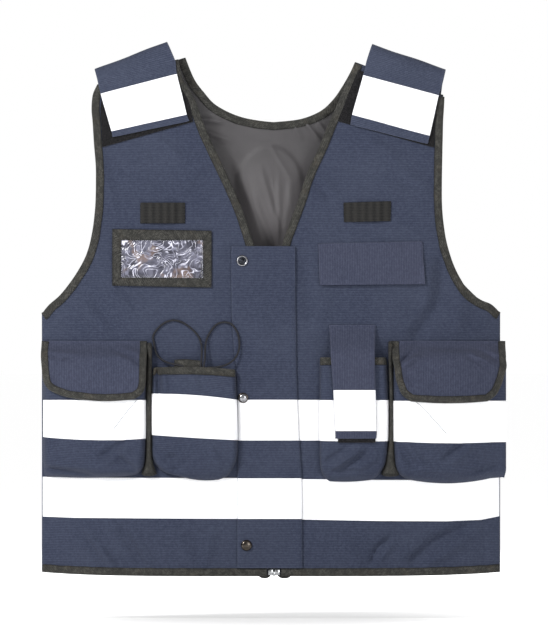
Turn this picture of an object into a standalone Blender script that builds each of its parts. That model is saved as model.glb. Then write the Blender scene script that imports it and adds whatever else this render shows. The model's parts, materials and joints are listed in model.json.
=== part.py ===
"""A work vest of navy cloth with reflective bands, hanging as it does when it is worn.

+Z is up, the front faces -Y and the wearer's left is +X. The origin lies between the undersides of the two
shoulders. Sizes and places are in millimetres, and MM turns them into Blender's metres.
"""

import math

import bmesh
import bpy
from mathutils import Vector

MM = 0.001

# The form that the cloth hangs in
HALF_WIDTH = 286.0
FRONT_DEPTH = 54.0
BACK_DEPTH = 48.0
SHOULDER_DEPTH = 9.0
CHEST_LEVEL = -400.0
FORM_POWER = 3.2
SEAM_GAP = 0.3
SIDE_GAPE = 5.0
UNDERARM_LEVEL = -320.0
VENT_LEVEL = -600.0
GAPE_HEIGHT = 27.0
WAVE_HEIGHT = 2.5
WAVE_LENGTH = 210.0
WAVE_START = -430.0

# The hem, the centre edges and the levels between the underarm and the hem
HEM_LEVEL = -647.0
HEM_RISE = 4.5
BACK_CENTRE = 3.0
FRONT_CENTRE = {"right": -5.0, "left": 12.5}
LOWER_LEVELS = (-350.0, -400.0, -470.0, -540.0, -600.0, -630.0)

# Layers, as heights above the inner face of the cloth
CLOTH = 1.6
LINING = 1.0
GAP = 0.5
TRIM = 1.0
ON_CLOTH = CLOTH + GAP
ON_TRIM = ON_CLOTH + TRIM + GAP
PLACKET_TOP = ON_TRIM + 1.6
ON_PLACKET = PLACKET_TOP + GAP
TAPE = 0.8

# The folded binding
BINDING_WIDTH = 8.3
BINDING_WALL = 1.0
BINDING_OUT = 1.5
RIM = 10.0
LEAST_FACING = 0.4

# A point well inside each panel, below the armhole, and levels far above and below the back
INSIDE_X = 150.0
INSIDE_LEVEL = -300.0
FAR = 2000.0

# Columns: neck_x, neck_z, arm_x, arm_z. Each row runs from the neck edge to the armhole edge,
# outside the bindings
FRONT_EDGES = {
    "right": (
        (-115.6, -2.0, -217.0, -33.0),
        (-110.5, -25.0, -222.8, -46.0),
        (-99.0, -44.5, -224.3, -64.0),
        (-92.0, -60.0, -223.0, -79.5),
        (-81.0, -90.0, -221.3, -106.5),
        (-68.5, -117.5, -219.0, -135.0),
        (-53.0, -150.0, -218.8, -160.0),
        (-38.0, -184.0, -219.6, -186.0),
        (-27.5, -214.0, -222.6, -213.0),
        (-20.5, -236.5, -227.3, -235.5),
        (-13.5, -256.0, -234.3, -254.0),
        (-5.0, -277.0, -247.6, -276.0),
        (-5.0, -296.0, -263.3, -296.0),
        (-5.0, -310.0, -277.5, -308.5),
        (-5.0, -322.0, -286.0, -319.0),
    ),
    "left": (
        (106.8, -6.0, 216.8, -48.8),
        (97.5, -34.0, 216.2, -62.5),
        (87.0, -57.5, 215.1, -80.0),
        (73.5, -82.0, 214.5, -105.0),
        (59.0, -114.0, 213.9, -132.0),
        (45.5, -143.0, 213.5, -157.0),
        (34.5, -176.0, 213.6, -181.0),
        (24.0, -205.0, 215.3, -205.0),
        (14.5, -232.0, 219.9, -232.5),
        (12.5, -259.0, 228.3, -259.0),
        (12.5, -278.0, 237.9, -278.0),
        (12.5, -292.0, 247.4, -291.5),
        (12.5, -302.0, 261.8, -302.0),
        (12.5, -310.0, 275.5, -308.0),
        (12.5, -320.0, 286.0, -318.0),
    ),
}
BACK_EDGES = {
    "right": (
        (-107.0, 0.5, -216.0, -32.0),
        (-96.0, -26.0, -221.5, -48.0),
        (-84.0, -42.5, -223.0, -64.0),
        (-69.0, -58.5, -221.7, -80.0),
        (-44.0, -71.3, -220.0, -104.0),
        (-20.0, -77.3, -218.5, -128.0),
        (3.0, -80.0, -217.6, -150.0),
        (3.0, -150.0, -220.0, -200.0),
        (3.0, -222.0, -230.5, -247.0),
        (3.0, -255.0, -245.0, -274.0),
        (3.0, -285.0, -262.0, -295.5),
        (3.0, -305.0, -277.0, -308.5),
        (3.0, -322.0, -286.0, -319.5),
    ),
    "left": (
        (105.0, -5.0, 215.5, -46.0),
        (99.0, -18.0, 215.0, -60.0),
        (90.0, -34.0, 214.0, -78.0),
        (77.5, -52.0, 213.4, -96.0),
        (61.0, -66.7, 212.8, -116.0),
        (36.0, -76.3, 212.4, -136.0),
        (3.0, -80.0, 212.3, -156.0),
        (3.0, -150.0, 214.0, -203.0),
        (3.0, -222.0, 226.0, -255.0),
        (3.0, -255.0, 236.5, -277.0),
        (3.0, -285.0, 260.5, -301.5),
        (3.0, -305.0, 274.5, -307.8),
        (3.0, -322.0, 286.0, -318.5),
    ),
}
LAST_NECK_ROW = {"front_right": 11, "front_left": 9, "back": 6}
FRONT_SHARES = (0.0, 0.19, 0.38, 0.58, 0.8, 1.0)
BACK_SHARES = (0.0, 0.3, 0.57, 0.8, 1.0)
LEAN = {"right": -1, "left": 1}

# Folds of the loose lining, which run down and fade towards its edges
LINING_FOLD = 7.0
LINING_FOLD_LENGTH = 62.0
LINING_FOLD_LEAN = 0.12
FOLD_TOP = -105.0
FOLD_FADE = 90.0
FOLD_REACH = 196.0
FOLD_FOOT = -617.0
FOOT_FADE = 120.0
LINING_INSET = 0.4

# Shoulder straps, from the loose end to the fold and on down the back.
# Columns: neck_x, neck_z, arm_x, arm_z
STRAP_FRONT = {
    "right": (
        (-102.4, -78.9, -197.6, -98.9),
        (-105.3, -71.1, -199.0, -91.8),
        (-111.5, -45.7, -205.8, -68.3),
        (-117.8, -20.3, -212.5, -44.9),
        (-119.5, -4.5, -216.6, -27.0),
    ),
    "left": (
        (99.6, -83.6, 195.3, -107.5),
        (101.5, -71.3, 197.8, -97.5),
        (108.5, -46.5, 203.5, -72.2),
        (115.4, -21.8, 209.1, -47.0),
        (120.0, -3.0, 213.8, -31.0),
    ),
}
STRAP_TOP = {"right": (-129.8, 19.0, -219.6, -15.4), "left": (126.4, 15.7, 217.8, -15.4)}
STRAP_BACK = {
    "right": ((-119.5, -6.0, -216.0, -29.0), (-110.0, -52.0, -211.0, -76.0)),
    "left": ((120.0, -6.0, 213.8, -33.0), (110.0, -52.0, 208.0, -78.0)),
}
STRAP_TAPE_ROWS = slice(1, 4)
FOLD_STEP = 30
LOOP_THICK = 1.2
STRAP_LOW = ON_CLOTH + LOOP_THICK + GAP
LOOP_PATCH = {
    "right": (
        (-124.5, -12.0, -209.5, -42.0),
        (-119.0, -33.0, -212.6, -62.0),
        (-107.0, -55.0, -211.6, -84.0),
        (-97.6, -79.8, -210.2, -111.3),
    ),
    "left": (
        (116.5, -15.0, 205.3, -55.0),
        (107.0, -40.0, 204.6, -75.0),
        (98.0, -62.0, 204.0, -95.0),
        (89.0, -80.5, 203.6, -111.8),
    ),
}

# The placket. Columns: level, left_x, right_x
PLACKET = (
    (-235.8, -49.0, 29.8),
    (-262.0, -49.2, 30.0),
    (-300.0, -49.0, 30.3),
    (-335.0, -48.0, 30.8),
    (-365.0, -46.0, 31.2),
    (-400.0, -42.6, 31.8),
    (-470.0, -41.4, 34.6),
    (-523.0, -41.5, 37.9),
    (-580.0, -41.7, 38.5),
    (-636.5, -41.8, 38.9),
)
PLACKET_BANDS = {"upper": (-427.1, -477.5), "lower": (-525.0, -575.3)}

# Snaps. Columns of the places: x, level, what it sits on. Columns of the profile: radius, height
SNAPS = {
    "top": (-35.9, -253.8, ON_PLACKET),
    "middle": (-34.8, -424.6, ON_PLACKET + TAPE + GAP),
    "bottom": (-30.5, -608.4, ON_PLACKET),
}
SNAP_PROFILE = ((3.6, 2.5), (5.8, 1.6), (6.6, 0.5), (6.3, 0.0))
SNAP_TOP = 2.8
SNAP_SIDES = 10

# The zip behind the placket. Columns of the chain: level, left_x, right_x
ZIP_TOP = -285.0
ZIP_END = -649.4
ZIP_TAPES = {"right": (-15.4, -0.8), "left": (8.6, 24.9)}
ZIP_LOW = -3.1
CHAIN_THICK = 2.6
ZIP_CHAIN = (
    (ZIP_TOP, 0.3, 7.3),
    (-340.0, 0.3, 7.3),
    (-400.0, 0.3, 7.3),
    (-520.0, 0.3, 7.3),
    (-637.0, 0.3, 7.3),
    (-637.3, -4.2, 11.7),
    (-645.9, -4.2, 11.7),
)

# Reflective bands on the cloth. Columns: x, top, bottom
BAND_STEP = 26.0
STRAP_COLUMNS = 4
PLACKET_COLUMNS = 3
TAB_COLUMNS = 6
FILM_COLUMNS = 5
LIGHT_COLUMNS = 3
FRAME_COUNTS = (4, 2, 4, 2)
BANDS = {
    "front_lower_tape_right": (
        (-285.2, -523.5, -573.0),
        (-244.0, -524.3, -574.3),
        (-38.0, -524.6, -575.3),
    ),
    "front_lower_tape_left": (
        (34.0, -526.0, -576.0),
        (136.0, -527.0, -578.0),
        (220.0, -527.2, -578.5),
        (262.0, -526.2, -577.0),
        (285.2, -522.5, -572.5),
    ),
    "front_upper_tape_left": ((30.0, -427.2, -477.6), (150.0, -427.5, -478.0)),
    "back_upper_tape": ((-285.2, -427.0, -477.0), (285.2, -427.0, -477.0)),
    "back_lower_tape": ((-285.2, -525.0, -575.0), (285.2, -525.0, -575.0)),
}

# Chest pieces
MIC_TABS = {
    "right": ((-162.8, -181.3, -107.6, -181.3), (-162.8, -206.5, -107.6, -206.5)),
    "left": ((90.8, -181.3, 149.6, -179.6), (91.5, -205.0, 149.1, -203.8)),
}
WEBBING = 1.4
TAB_BOW = 1.8
ID_OUTER = (-197.9, -214.1, -74.3, -216.3, -197.9, -284.5, -74.3, -286.9)
ID_WINDOW = (-187.5, -227.5, -84.4, -227.5, -187.5, -274.8, -84.4, -275.6)
FILM_LAP = 3.0
CHEST_FLAP = ((59.1, -232.5, 188.5, -229.6), (60.2, -258.0, 190.2, -256.0), (61.4, -283.8, 191.8, -282.3))
CHEST_FLAP_RISE = 1.8

# Pocket bags, from the mouth down. Columns: left_x, left_z, right_x, right_z, swell, sag
BAG_BASE = ON_TRIM
WALL_ANGLES = (0, 30, 60, 90)
BAGS = {
    "cargo_bag_right": (
        (-285.0, -372.0, -156.5, -372.0, 0.80, 0.0),
        (-285.0, -398.0, -156.5, -398.0, 1.00, 0.0),
        (-285.0, -427.5, -156.5, -427.3, 1.00, 0.0),
        (-285.0, -473.3, -156.5, -475.0, 1.00, 3.0),
        (-284.5, -505.0, -157.5, -506.0, 1.00, 2.0),
        (-283.8, -515.0, -161.0, -514.5, 0.87, 2.0),
        (-283.0, -520.0, -166.0, -519.0, 0.50, 2.0),
        (-282.0, -522.5, -172.0, -521.5, 0.00, 2.5),
    ),
    "cargo_bag_left": (
        (153.0, -372.0, 285.0, -372.0, 0.80, 0.0),
        (153.0, -398.0, 285.0, -398.0, 1.00, 0.0),
        (153.0, -428.4, 285.0, -428.4, 1.00, 0.0),
        (153.5, -478.4, 285.0, -479.5, 1.00, 2.0),
        (154.0, -505.0, 285.0, -505.0, 1.00, 3.0),
        (157.0, -516.0, 285.0, -514.0, 0.87, 5.0),
        (163.0, -522.5, 284.0, -519.5, 0.50, 6.0),
        (172.0, -526.5, 283.0, -523.0, 0.00, 6.5),
    ),
    "small_bag_right": (
        (-147.5, -389.3, -44.5, -391.0, 0.90, 0.0),
        (-147.5, -399.0, -44.5, -400.7, 0.95, 0.0),
        (-147.5, -419.5, -44.5, -427.0, 1.00, -2.0),
        (-147.5, -470.5, -44.5, -477.0, 1.00, 0.5),
        (-147.0, -505.0, -45.5, -508.0, 1.00, 0.0),
        (-144.0, -514.0, -49.0, -515.0, 0.87, 2.0),
        (-136.0, -518.5, -52.0, -522.5, 0.50, 3.5),
        (-126.0, -521.5, -58.0, -527.0, 0.00, 3.5),
    ),
    "small_bag_left": (
        (60.6, -375.3, 142.0, -375.3, 0.90, 0.0),
        (60.6, -385.0, 142.0, -385.0, 0.95, 0.0),
        (60.6, -427.5, 142.0, -427.5, 1.00, 0.0),
        (60.6, -477.8, 142.0, -478.3, 1.00, 0.5),
        (61.0, -505.0, 142.0, -505.0, 1.00, 0.5),
        (63.0, -517.0, 138.0, -515.0, 0.87, 1.0),
        (67.0, -524.0, 133.0, -521.5, 0.50, 1.5),
        (73.0, -528.5, 127.0, -526.5, 0.00, 1.5),
    ),
}
BAG_DEPTH = {"cargo_bag": 16.0, "small_bag": 12.0}
BAG_WALL = {"cargo_bag": 9.0, "small_bag": 6.0}
BAG_MIDDLE = {"cargo_bag": 4, "small_bag": 3}
BAG_TAPE_ROWS = slice(2, 4)
SIDE_BULGE = 11.3

# Cargo flaps, outside their bindings. Columns: level, left_x, right_x, sag
FLAPS = {
    "right": (
        (-354.0, -286.6, -154.6, 0.0),
        (-361.0, -287.0, -154.7, 0.0),
        (-371.0, -287.5, -154.9, 0.0),
        (-386.0, -286.5, -155.3, 0.0),
        (-401.0, -284.3, -156.0, 0.0),
        (-411.0, -278.0, -158.5, 0.0),
        (-418.0, -264.0, -163.0, 1.0),
        (-423.5, -246.3, -171.5, 6.0),
    ),
    "left": (
        (-354.0, 150.8, 293.0, 0.0),
        (-361.0, 150.8, 293.0, 0.0),
        (-371.0, 151.3, 293.6, 0.0),
        (-377.0, 151.3, 293.6, 0.0),
        (-386.0, 153.3, 294.3, 0.0),
        (-401.0, 156.5, 290.3, 0.0),
        (-411.0, 160.8, 286.5, 0.0),
        (-420.0, 168.0, 280.5, 0.0),
        (-427.5, 180.8, 270.0, 3.0),
    ),
}
FLAP_BASE = CLOTH + 2 * GAP + BINDING_WALL
FLAP_CLEAR = 4.3
FLAP_CLOTH = 1.5
FLAP_BEND = 15.0
FLAP_DROOP = 0.9
SIDE_SLOPE = 0.6
DROOP_WIDTH = 11.0
FLAP_SHARES = (0.0, 0.075, 0.29, 0.5, 0.71, 0.925, 1.0)
FLAP_BINDING_WIDTH = 6.8

# Dark strips on the gusset beside each cargo pocket. Columns: level, left_x, right_x
EDGE_STRIPS = {
    "right": (
        (-359.0, -153.6, -148.4),
        (-424.0, -153.6, -148.4),
        (-431.0, -155.6, -148.4),
        (-500.0, -155.6, -148.4),
        (-508.0, -156.6, -148.6),
        (-519.0, -161.0, -143.0),
    ),
    "left": (
        (-357.0, 143.0, 148.2),
        (-388.0, 143.2, 150.0),
        (-424.0, 143.2, 151.4),
        (-441.0, 143.2, 152.2),
        (-500.0, 143.0, 152.8),
        (-508.0, 143.0, 153.6),
        (-516.0, 139.5, 156.0),
        (-519.5, 138.0, 158.5),
    ),
}
STRIP_HEIGHT = 4.5

# The long flap over the small left pocket. Columns: level, left_x, right_x
LIGHT_FLAP = (
    (-333.8, 72.9, 130.0),
    (-343.0, 73.5, 129.7),
    (-353.0, 74.0, 129.4),
    (-363.0, 74.5, 129.2),
    (-374.0, 75.0, 128.9),
    (-415.0, 77.9, 130.0),
    (-465.6, 80.5, 131.3),
    (-475.0, 80.5, 130.6),
)
LIGHT_FLAP_OUT = 17.1
LIGHT_FLAP_BEND = 38.0
LIGHT_FLAP_BAND = ((-415.0, 77.9, 130.0), (-440.0, 79.2, 130.6), (-465.6, 80.5, 131.3))
LIGHT_FLAP_PATCH = ((-440.0, 83.8, 130.0), (-480.0, 83.8, 130.0))
PATCH_LOW = 17.4
PATCH_THICK = 1.1

# Cord loops. Columns: x, level, height above the form
CORD_THICK = 2.4
CORD_STEPS = 2
CORDS = {
    "outer": (
        (-88.1, -386.0, 13.2),
        (-86.6, -376.0, 12.0),
        (-86.4, -364.0, 8.0),
        (-87.5, -355.0, 5.0),
        (-91.5, -346.5, 3.8),
        (-99.5, -338.0, 3.5),
        (-110.0, -330.8, 3.5),
        (-120.5, -327.9, 3.5),
        (-131.3, -330.4, 3.5),
        (-140.8, -337.8, 3.5),
        (-146.9, -347.5, 3.5),
        (-146.0, -356.0, 4.0),
        (-144.0, -366.0, 5.5),
        (-139.5, -374.0, 8.0),
        (-130.3, -380.0, 10.5),
        (-118.8, -383.0, 12.4),
        (-108.0, -385.2, 13.2),
    ),
    "inner": (
        (-84.0, -386.2, 13.2),
        (-82.4, -376.0, 12.0),
        (-82.0, -364.0, 8.0),
        (-80.5, -353.0, 5.0),
        (-76.5, -344.0, 3.8),
        (-70.5, -335.5, 3.5),
        (-64.0, -331.2, 3.5),
        (-56.5, -330.4, 3.5),
        (-49.2, -332.6, 6.8),
        (-42.8, -341.3, 7.4),
        (-40.0, -350.0, 7.5),
        (-39.5, -362.0, 8.5),
        (-42.5, -371.5, 10.0),
        (-48.0, -378.5, 11.8),
        (-56.5, -383.6, 12.9),
        (-68.0, -386.4, 13.2),
        (-78.5, -386.6, 13.2),
    ),
}

# Finishes: sRGB colour, roughness, metallic
FINISHES = {
    "navy_cloth": ((74, 80, 103), 0.85, 0.0),
    "black_binding": ((70, 70, 66), 0.8, 0.0),
    "grey_lining": ((96, 94, 96), 0.5, 0.0),
    "white_tape": ((244, 245, 246), 0.45, 0.0),
    "black_loop": ((42, 42, 44), 0.95, 0.0),
    "black_webbing": ((62, 60, 56), 0.8, 0.0),
    "clear_film": ((176, 178, 184), 0.1, 0.0),
    "dark_metal": ((92, 90, 88), 0.25, 1.0),
    "bright_metal": ((186, 188, 190), 0.25, 1.0),
    "black_cord": ((40, 40, 44), 0.6, 0.0),
}


# Numbers and curves


def ease(share):
    """0 below 0, 1 above 1 and a smooth rise between."""
    share = min(1.0, max(0.0, share))
    return share * share * (3.0 - 2.0 * share)


def between(low, high, share):
    return low + (high - low) * share


def smooth(rows, steps):
    """A table's rows with steps - 1 more between each two, on a curve through them all."""
    last = len(rows) - 1
    found = []
    for i in range(last):
        a, b, c, d = rows[max(i - 1, 0)], rows[i], rows[i + 1], rows[min(i + 2, last)]
        for k in range(steps):
            t = k / steps
            found.append(
                tuple(
                    0.5
                    * (
                        2 * q
                        + (r - p) * t
                        + (2 * p - 5 * q + 4 * r - s) * t**2
                        + (3 * q - p - 3 * r + s) * t**3
                    )
                    for p, q, r, s in zip(a, b, c, d)
                )
            )
    return found + [tuple(rows[last])]


def lookup(rows, at, column):
    """The value of a column where the first column is at, on straight lines between the rows."""
    for low, high in zip(rows, rows[1:]):
        if at <= high[0]:
            share = max(0.0, (at - low[0]) / (high[0] - low[0]))
            return between(low[column], high[column], share)
    return rows[-1][column]


# The hanging form


def half_width(z):
    """Half the width of the form, which gapes a little at the underarm and the hem."""
    gape = ease((z - UNDERARM_LEVEL + GAPE_HEIGHT) / GAPE_HEIGHT)
    gape += ease((VENT_LEVEL - z) / GAPE_HEIGHT)
    return HALF_WIDTH + SIDE_GAPE * gape


def skin(x, z, side):
    """Distance of the cloth's inner face from the middle plane, in front (-1) or behind (1)."""
    full = FRONT_DEPTH if side < 0 else BACK_DEPTH
    depth = between(SHOULDER_DEPTH, full, ease(z / CHEST_LEVEL))
    across = min(1.0, abs(x) / half_width(z))
    wave = WAVE_HEIGHT * ease((WAVE_START - z) / (WAVE_START - HEM_LEVEL)) * (1.0 - across**2)
    ripple = wave * math.sin(math.tau * (x + side * WAVE_LENGTH / 5) / WAVE_LENGTH)
    return SEAM_GAP / 2 + depth * (1.0 - across**FORM_POWER) + ripple


def place(x, z, side, height):
    """The point of the layer that lies height above the inner face."""
    return Vector((x, side * (skin(x, z, side) + height), z))


def hem(x):
    """The level of the bound hem."""
    return HEM_LEVEL + HEM_RISE * (abs(x) / HALF_WIDTH) ** 5


# Solids


def finish(node, slot):
    colour, roughness, metallic = FINISHES[slot]
    made = bpy.data.materials.new(node + "_" + slot)
    made.use_nodes = True
    shader = made.node_tree.nodes["Principled BSDF"]
    levels = [(c / 255) / 12.92 if c / 255 < 0.04 else ((c / 255 + 0.055) / 1.055) ** 2.4 for c in colour]
    shader.inputs["Base Color"].default_value = (*levels, 1.0)
    shader.inputs["Roughness"].default_value = roughness
    shader.inputs["Metallic"].default_value = metallic
    made.diffuse_color = (*levels, 1.0)
    return made


def solid(node, points, faces, slot):
    """One object from points in millimetres and faces in any direction."""
    shape = bmesh.new()
    corners = [shape.verts.new(Vector(p) * MM) for p in points]
    for face in faces:
        shape.faces.new([corners[i] for i in face])
    bmesh.ops.recalc_face_normals(shape, faces=shape.faces)
    if shape.calc_volume(signed=True) < 0.0:
        bmesh.ops.reverse_faces(shape, faces=shape.faces)
    mesh = bpy.data.meshes.new(node)
    shape.to_mesh(mesh)
    shape.free()
    mesh.shade_smooth()
    mesh.set_sharp_from_angle(angle=math.radians(40))
    made = bpy.data.objects.new(node, mesh)
    made.data.materials.append(finish(node, slot))
    bpy.context.scene.collection.objects.link(made)
    return made


def slab(node, patches, slot):
    """The solid between near and far grids of points. Patches that share points are sewn together."""
    found, near, far, faces = {}, [], [], []

    def corner(p, q):
        key = tuple(round(c, 3) for c in (*p, *q))
        if key not in found:
            found[key] = len(near)
            near.append(p)
            far.append(q)
        return found[key]

    for low, high in patches:
        ids = [[corner(p, q) for p, q in zip(*rows)] for rows in zip(low, high)]
        for above, below in zip(ids, ids[1:]):
            for j in range(len(above) - 1):
                faces.append([above[j], above[j + 1], below[j + 1], below[j]])
    edges = {}
    for face in faces:
        for a, b in zip(face, face[1:] + face[:1]):
            edges.setdefault(frozenset((a, b)), []).append((a, b))
    rims = [uses[0] for uses in edges.values() if len(uses) == 1]
    count = len(near)
    walls = [[a, b, b + count, a + count] for a, b in rims]
    back = [[i + count for i in face] for face in faces]
    return solid(node, near + far, faces + back + walls, slot)


def flat(x, z):
    return 0.0


def layer(node, grid, side, low, high, slot, lift=flat):
    """Cloth over a grid of (x, z), between two heights above the form and its own lift."""
    near = [[place(x, z, side, low + lift(x, z)) for x, z in row] for row in grid]
    far = [[place(x, z, side, high + lift(x, z)) for x, z in row] for row in grid]
    return slab(node, [(near, far)], slot)


def spread(rows, shares):
    """A grid of (x, z) from rows of (left_x, left_z, right_x, right_z), with a column at each share."""
    return [[(between(a, c, s), between(b, d, s)) for s in shares] for a, b, c, d in rows]


def even(count):
    return [i / count for i in range(count + 1)]


def strip(node, rows, side, low, slot):
    """A reflective band from a table of (x, top, bottom), with a column every BAND_STEP."""
    first, last = rows[0][0], rows[-1][0]
    columns = [between(first, last, s) for s in even(math.ceil((last - first) / BAND_STEP))]
    grid = [[(x, lookup(rows, x, column)) for x in columns] for column in (1, 2)]
    return layer(node, grid, side, low, low + TAPE, slot)


def channel(node, stations, thick, slot, width=BINDING_WIDTH):
    """A strip folded over an edge. Each station gives a point from a distance in and a height."""
    low, high = -GAP, thick + GAP
    wall = BINDING_WALL
    inner_end, outer_end = -(BINDING_OUT - wall), -BINDING_OUT
    profile = (
        (width, high + wall),
        (outer_end, high + wall),
        (outer_end, low - wall),
        (width, low - wall),
        (width, low),
        (inner_end, low),
        (inner_end, high),
        (width, high),
    )
    points = [station(d, h) for station in stations for d, h in profile]
    count = len(profile)
    faces = []
    for i in range(len(stations) - 1):
        for k in range(count):
            a, b = i * count + k, i * count + (k + 1) % count
            faces.append([a, b, b + count, a + count])
    for first in (0, (len(stations) - 1) * count):
        for leg in ((0, 1, 6, 7), (1, 2, 5, 6), (2, 3, 4, 5)):
            faces.append([first + k for k in leg])
    return solid(node, points, faces, slot)


def normals(grid):
    """Unit normals at a grid's points, from the faces that meet there, away from the wearer."""
    rows, columns = len(grid), len(grid[0])
    sums = [[Vector() for _ in range(columns)] for _ in range(rows)]
    for i in range(rows - 1):
        for j in range(columns - 1):
            a, b, c, d = grid[i][j], grid[i][j + 1], grid[i + 1][j + 1], grid[i + 1][j]
            way = (c - a).cross(d - b).normalized()
            for p, q in ((i, j), (i, j + 1), (i + 1, j + 1), (i + 1, j)):
                sums[p][q] += way
    turn = -1.0 if sum(way.y for row in sums[: rows // 2] for way in row) > 0 else 1.0
    return [[way.normalized() * turn for way in row] for row in sums]


def lifted(grid, ways, height):
    return [[p + n * height for p, n in zip(row, way)] for row, way in zip(grid, ways)]


# Edges of the panels


def inward(points, inside):
    """A unit direction at each point of an edge, square to it and turned to the point inside."""
    last = len(points) - 1
    found = []
    for i, (x, z) in enumerate(points):
        before, after = points[max(i - 1, 0)], points[min(i + 1, last)]
        run_x, run_z = after[0] - before[0], after[1] - before[1]
        length = math.hypot(run_x, run_z)
        way = (run_z / length, -run_x / length)
        aim = (inside[0] - x) * way[0] + (inside[1] - z) * way[1]
        found.append(way if aim > 0 else (-way[0], -way[1]))
    return found


def inset(points, inside, distance):
    ways = inward(points, inside)
    return [(x + u * distance, z + v * distance) for (x, z), (u, v) in zip(points, ways)]


def edges_of(rows, last_neck, lean):
    """The panel's own neck and armhole edges, inside the bindings, down to the underarm."""
    inside = (lean * INSIDE_X, INSIDE_LEVEL)
    neck = [(row[0], row[1]) for row in rows]
    arm = [(row[2], row[3]) for row in rows]
    bound = inset(neck[: last_neck + 1], inside, BINDING_OUT)
    arm = inset(arm, inside, BINDING_OUT)
    arm[-1] = (lean * HALF_WIDTH, arm[-1][1])
    return bound + neck[last_neck + 1 :], arm


def edge_stations(points, inside, side, lift=flat):
    """Stations for a channel along an edge of a panel, which lies a lift above the form."""
    ways = inward(points, inside)

    def station(point, way):
        def at(d, h):
            x, z = point[0] + way[0] * d, point[1] + way[1] * d
            return place(x, z, side, h + lift(x, z))

        return at

    return [station(point, way) for point, way in zip(points, ways)]


def rim_share(edge, other, way):
    """The share of a row, from one edge to the other, that lies within RIM of the first edge."""
    run_x, run_z = other[0] - edge[0], other[1] - edge[1]
    facing = max(LEAST_FACING, abs(run_x * way[0] + run_z * way[1]) / math.hypot(run_x, run_z))
    return RIM / facing / math.hypot(run_x, run_z)


def panel_grid(neck, arm, centre, lean, shares):
    """Rows of (x, z) from the neck or centre edge out to the armhole or side edge, down to the hem."""
    neck = neck + [(centre, z) for z in LOWER_LEVELS]
    arm = arm + [(lean * HALF_WIDTH, z) for z in LOWER_LEVELS]
    inside = (lean * INSIDE_X, INSIDE_LEVEL)
    ways = zip(inward(neck, inside), inward(arm, inside))
    grid = []
    for a, b, (from_a, from_b) in zip(neck, arm, ways):
        first, last = rim_share(a, b, from_a), 1.0 - rim_share(b, a, from_b)
        steps = [0.0] + [between(first, last, share) for share in shares] + [1.0]
        grid.append([(between(a[0], b[0], s), between(a[1], b[1], s)) for s in steps])
    grid.append([(x, hem(x) + BINDING_OUT) for x, _ in grid[-1]])
    return grid


# Body


def lining_fold(x, z):
    """How far the loose lining stands off the back towards the wearer, in folds that run down."""
    from_edge = ease((FOLD_TOP - z) / FOLD_FADE) * ease((FOLD_REACH - abs(x)) / FOLD_FADE)
    from_hem = ease((z - FOLD_FOOT) / FOOT_FADE)
    ridge = 0.5 + 0.5 * math.cos(math.tau * (x - LINING_FOLD_LEAN * z) / LINING_FOLD_LENGTH)
    return LINING_FOLD * from_edge * from_hem * ridge


def lining_face(grid, depth):
    """The lining over half of the back, which ends a little way in from its outer edge."""
    face = []
    for row in grid:
        x, z = (between(a, b, LINING_INSET) for a, b in zip(row[-1], row[-2]))
        face.append([place(p, q, 1, -depth - lining_fold(p, q)) for p, q in row[:-1] + [(x, z)]])
    return face


def make_fronts():
    for name, lean in LEAN.items():
        last = LAST_NECK_ROW["front_" + name]
        neck, arm = edges_of(FRONT_EDGES[name], last, lean)
        grid = panel_grid(neck, arm, FRONT_CENTRE[name], lean, FRONT_SHARES)
        layer("front_panel_" + name, grid, -1, 0.0, CLOTH, "navy_cloth")
        inside = (lean * INSIDE_X, INSIDE_LEVEL)
        v_edge = edge_stations(neck[: last + 1], inside, -1)
        channel("v_binding_" + name, v_edge, CLOTH, "black_binding")
        armhole = edge_stations(arm, inside, -1)
        channel("front_armhole_binding_" + name, armhole, CLOTH, "black_binding")
        bottom = edge_stations(grid[-1], inside, -1)
        channel("front_hem_binding_" + name, bottom, CLOTH, "black_binding")


def make_back():
    halves = {}
    edges = {}
    last = LAST_NECK_ROW["back"]
    for name, lean in LEAN.items():
        neck, arm = edges_of(BACK_EDGES[name], last, lean)
        neck[last] = (BACK_CENTRE, neck[last][1])
        halves[name] = panel_grid(neck, arm, BACK_CENTRE, lean, BACK_SHARES)
        edges[name] = neck[: last + 1]
        armhole = edge_stations(arm, (lean * INSIDE_X, INSIDE_LEVEL), 1)
        channel("back_armhole_binding_" + name, lowered(armhole), CLOTH + LINING + GAP, "black_binding")
    panels, linings = [], []
    for half in halves.values():
        panels.append([[[place(x, z, 1, h) for x, z in row] for row in half] for h in (0.0, CLOTH)])
        linings.append([lining_face(half, depth) for depth in (GAP + LINING, GAP)])
    slab("back_panel", panels, "navy_cloth")
    slab("back_lining", linings, "grey_lining")
    neck_line = edges["right"] + edges["left"][-2::-1]
    neck_edge = edge_stations(neck_line, (BACK_CENTRE, -FAR), 1)
    channel("back_neck_binding", lowered(neck_edge), CLOTH + LINING + GAP, "black_binding")
    hem_line = halves["right"][-1][::-1] + halves["left"][-1][1:]
    hem_edge = edge_stations(hem_line, (BACK_CENTRE, FAR), 1)
    channel("back_hem_binding", lowered(hem_edge), CLOTH + LINING + GAP, "black_binding")


def lowered(stations):
    """The same stations, measured from the lining's inner face."""

    def drop(station):
        return lambda d, h: station(d, h - GAP - LINING)

    return [drop(station) for station in stations]


# Shoulders


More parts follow.
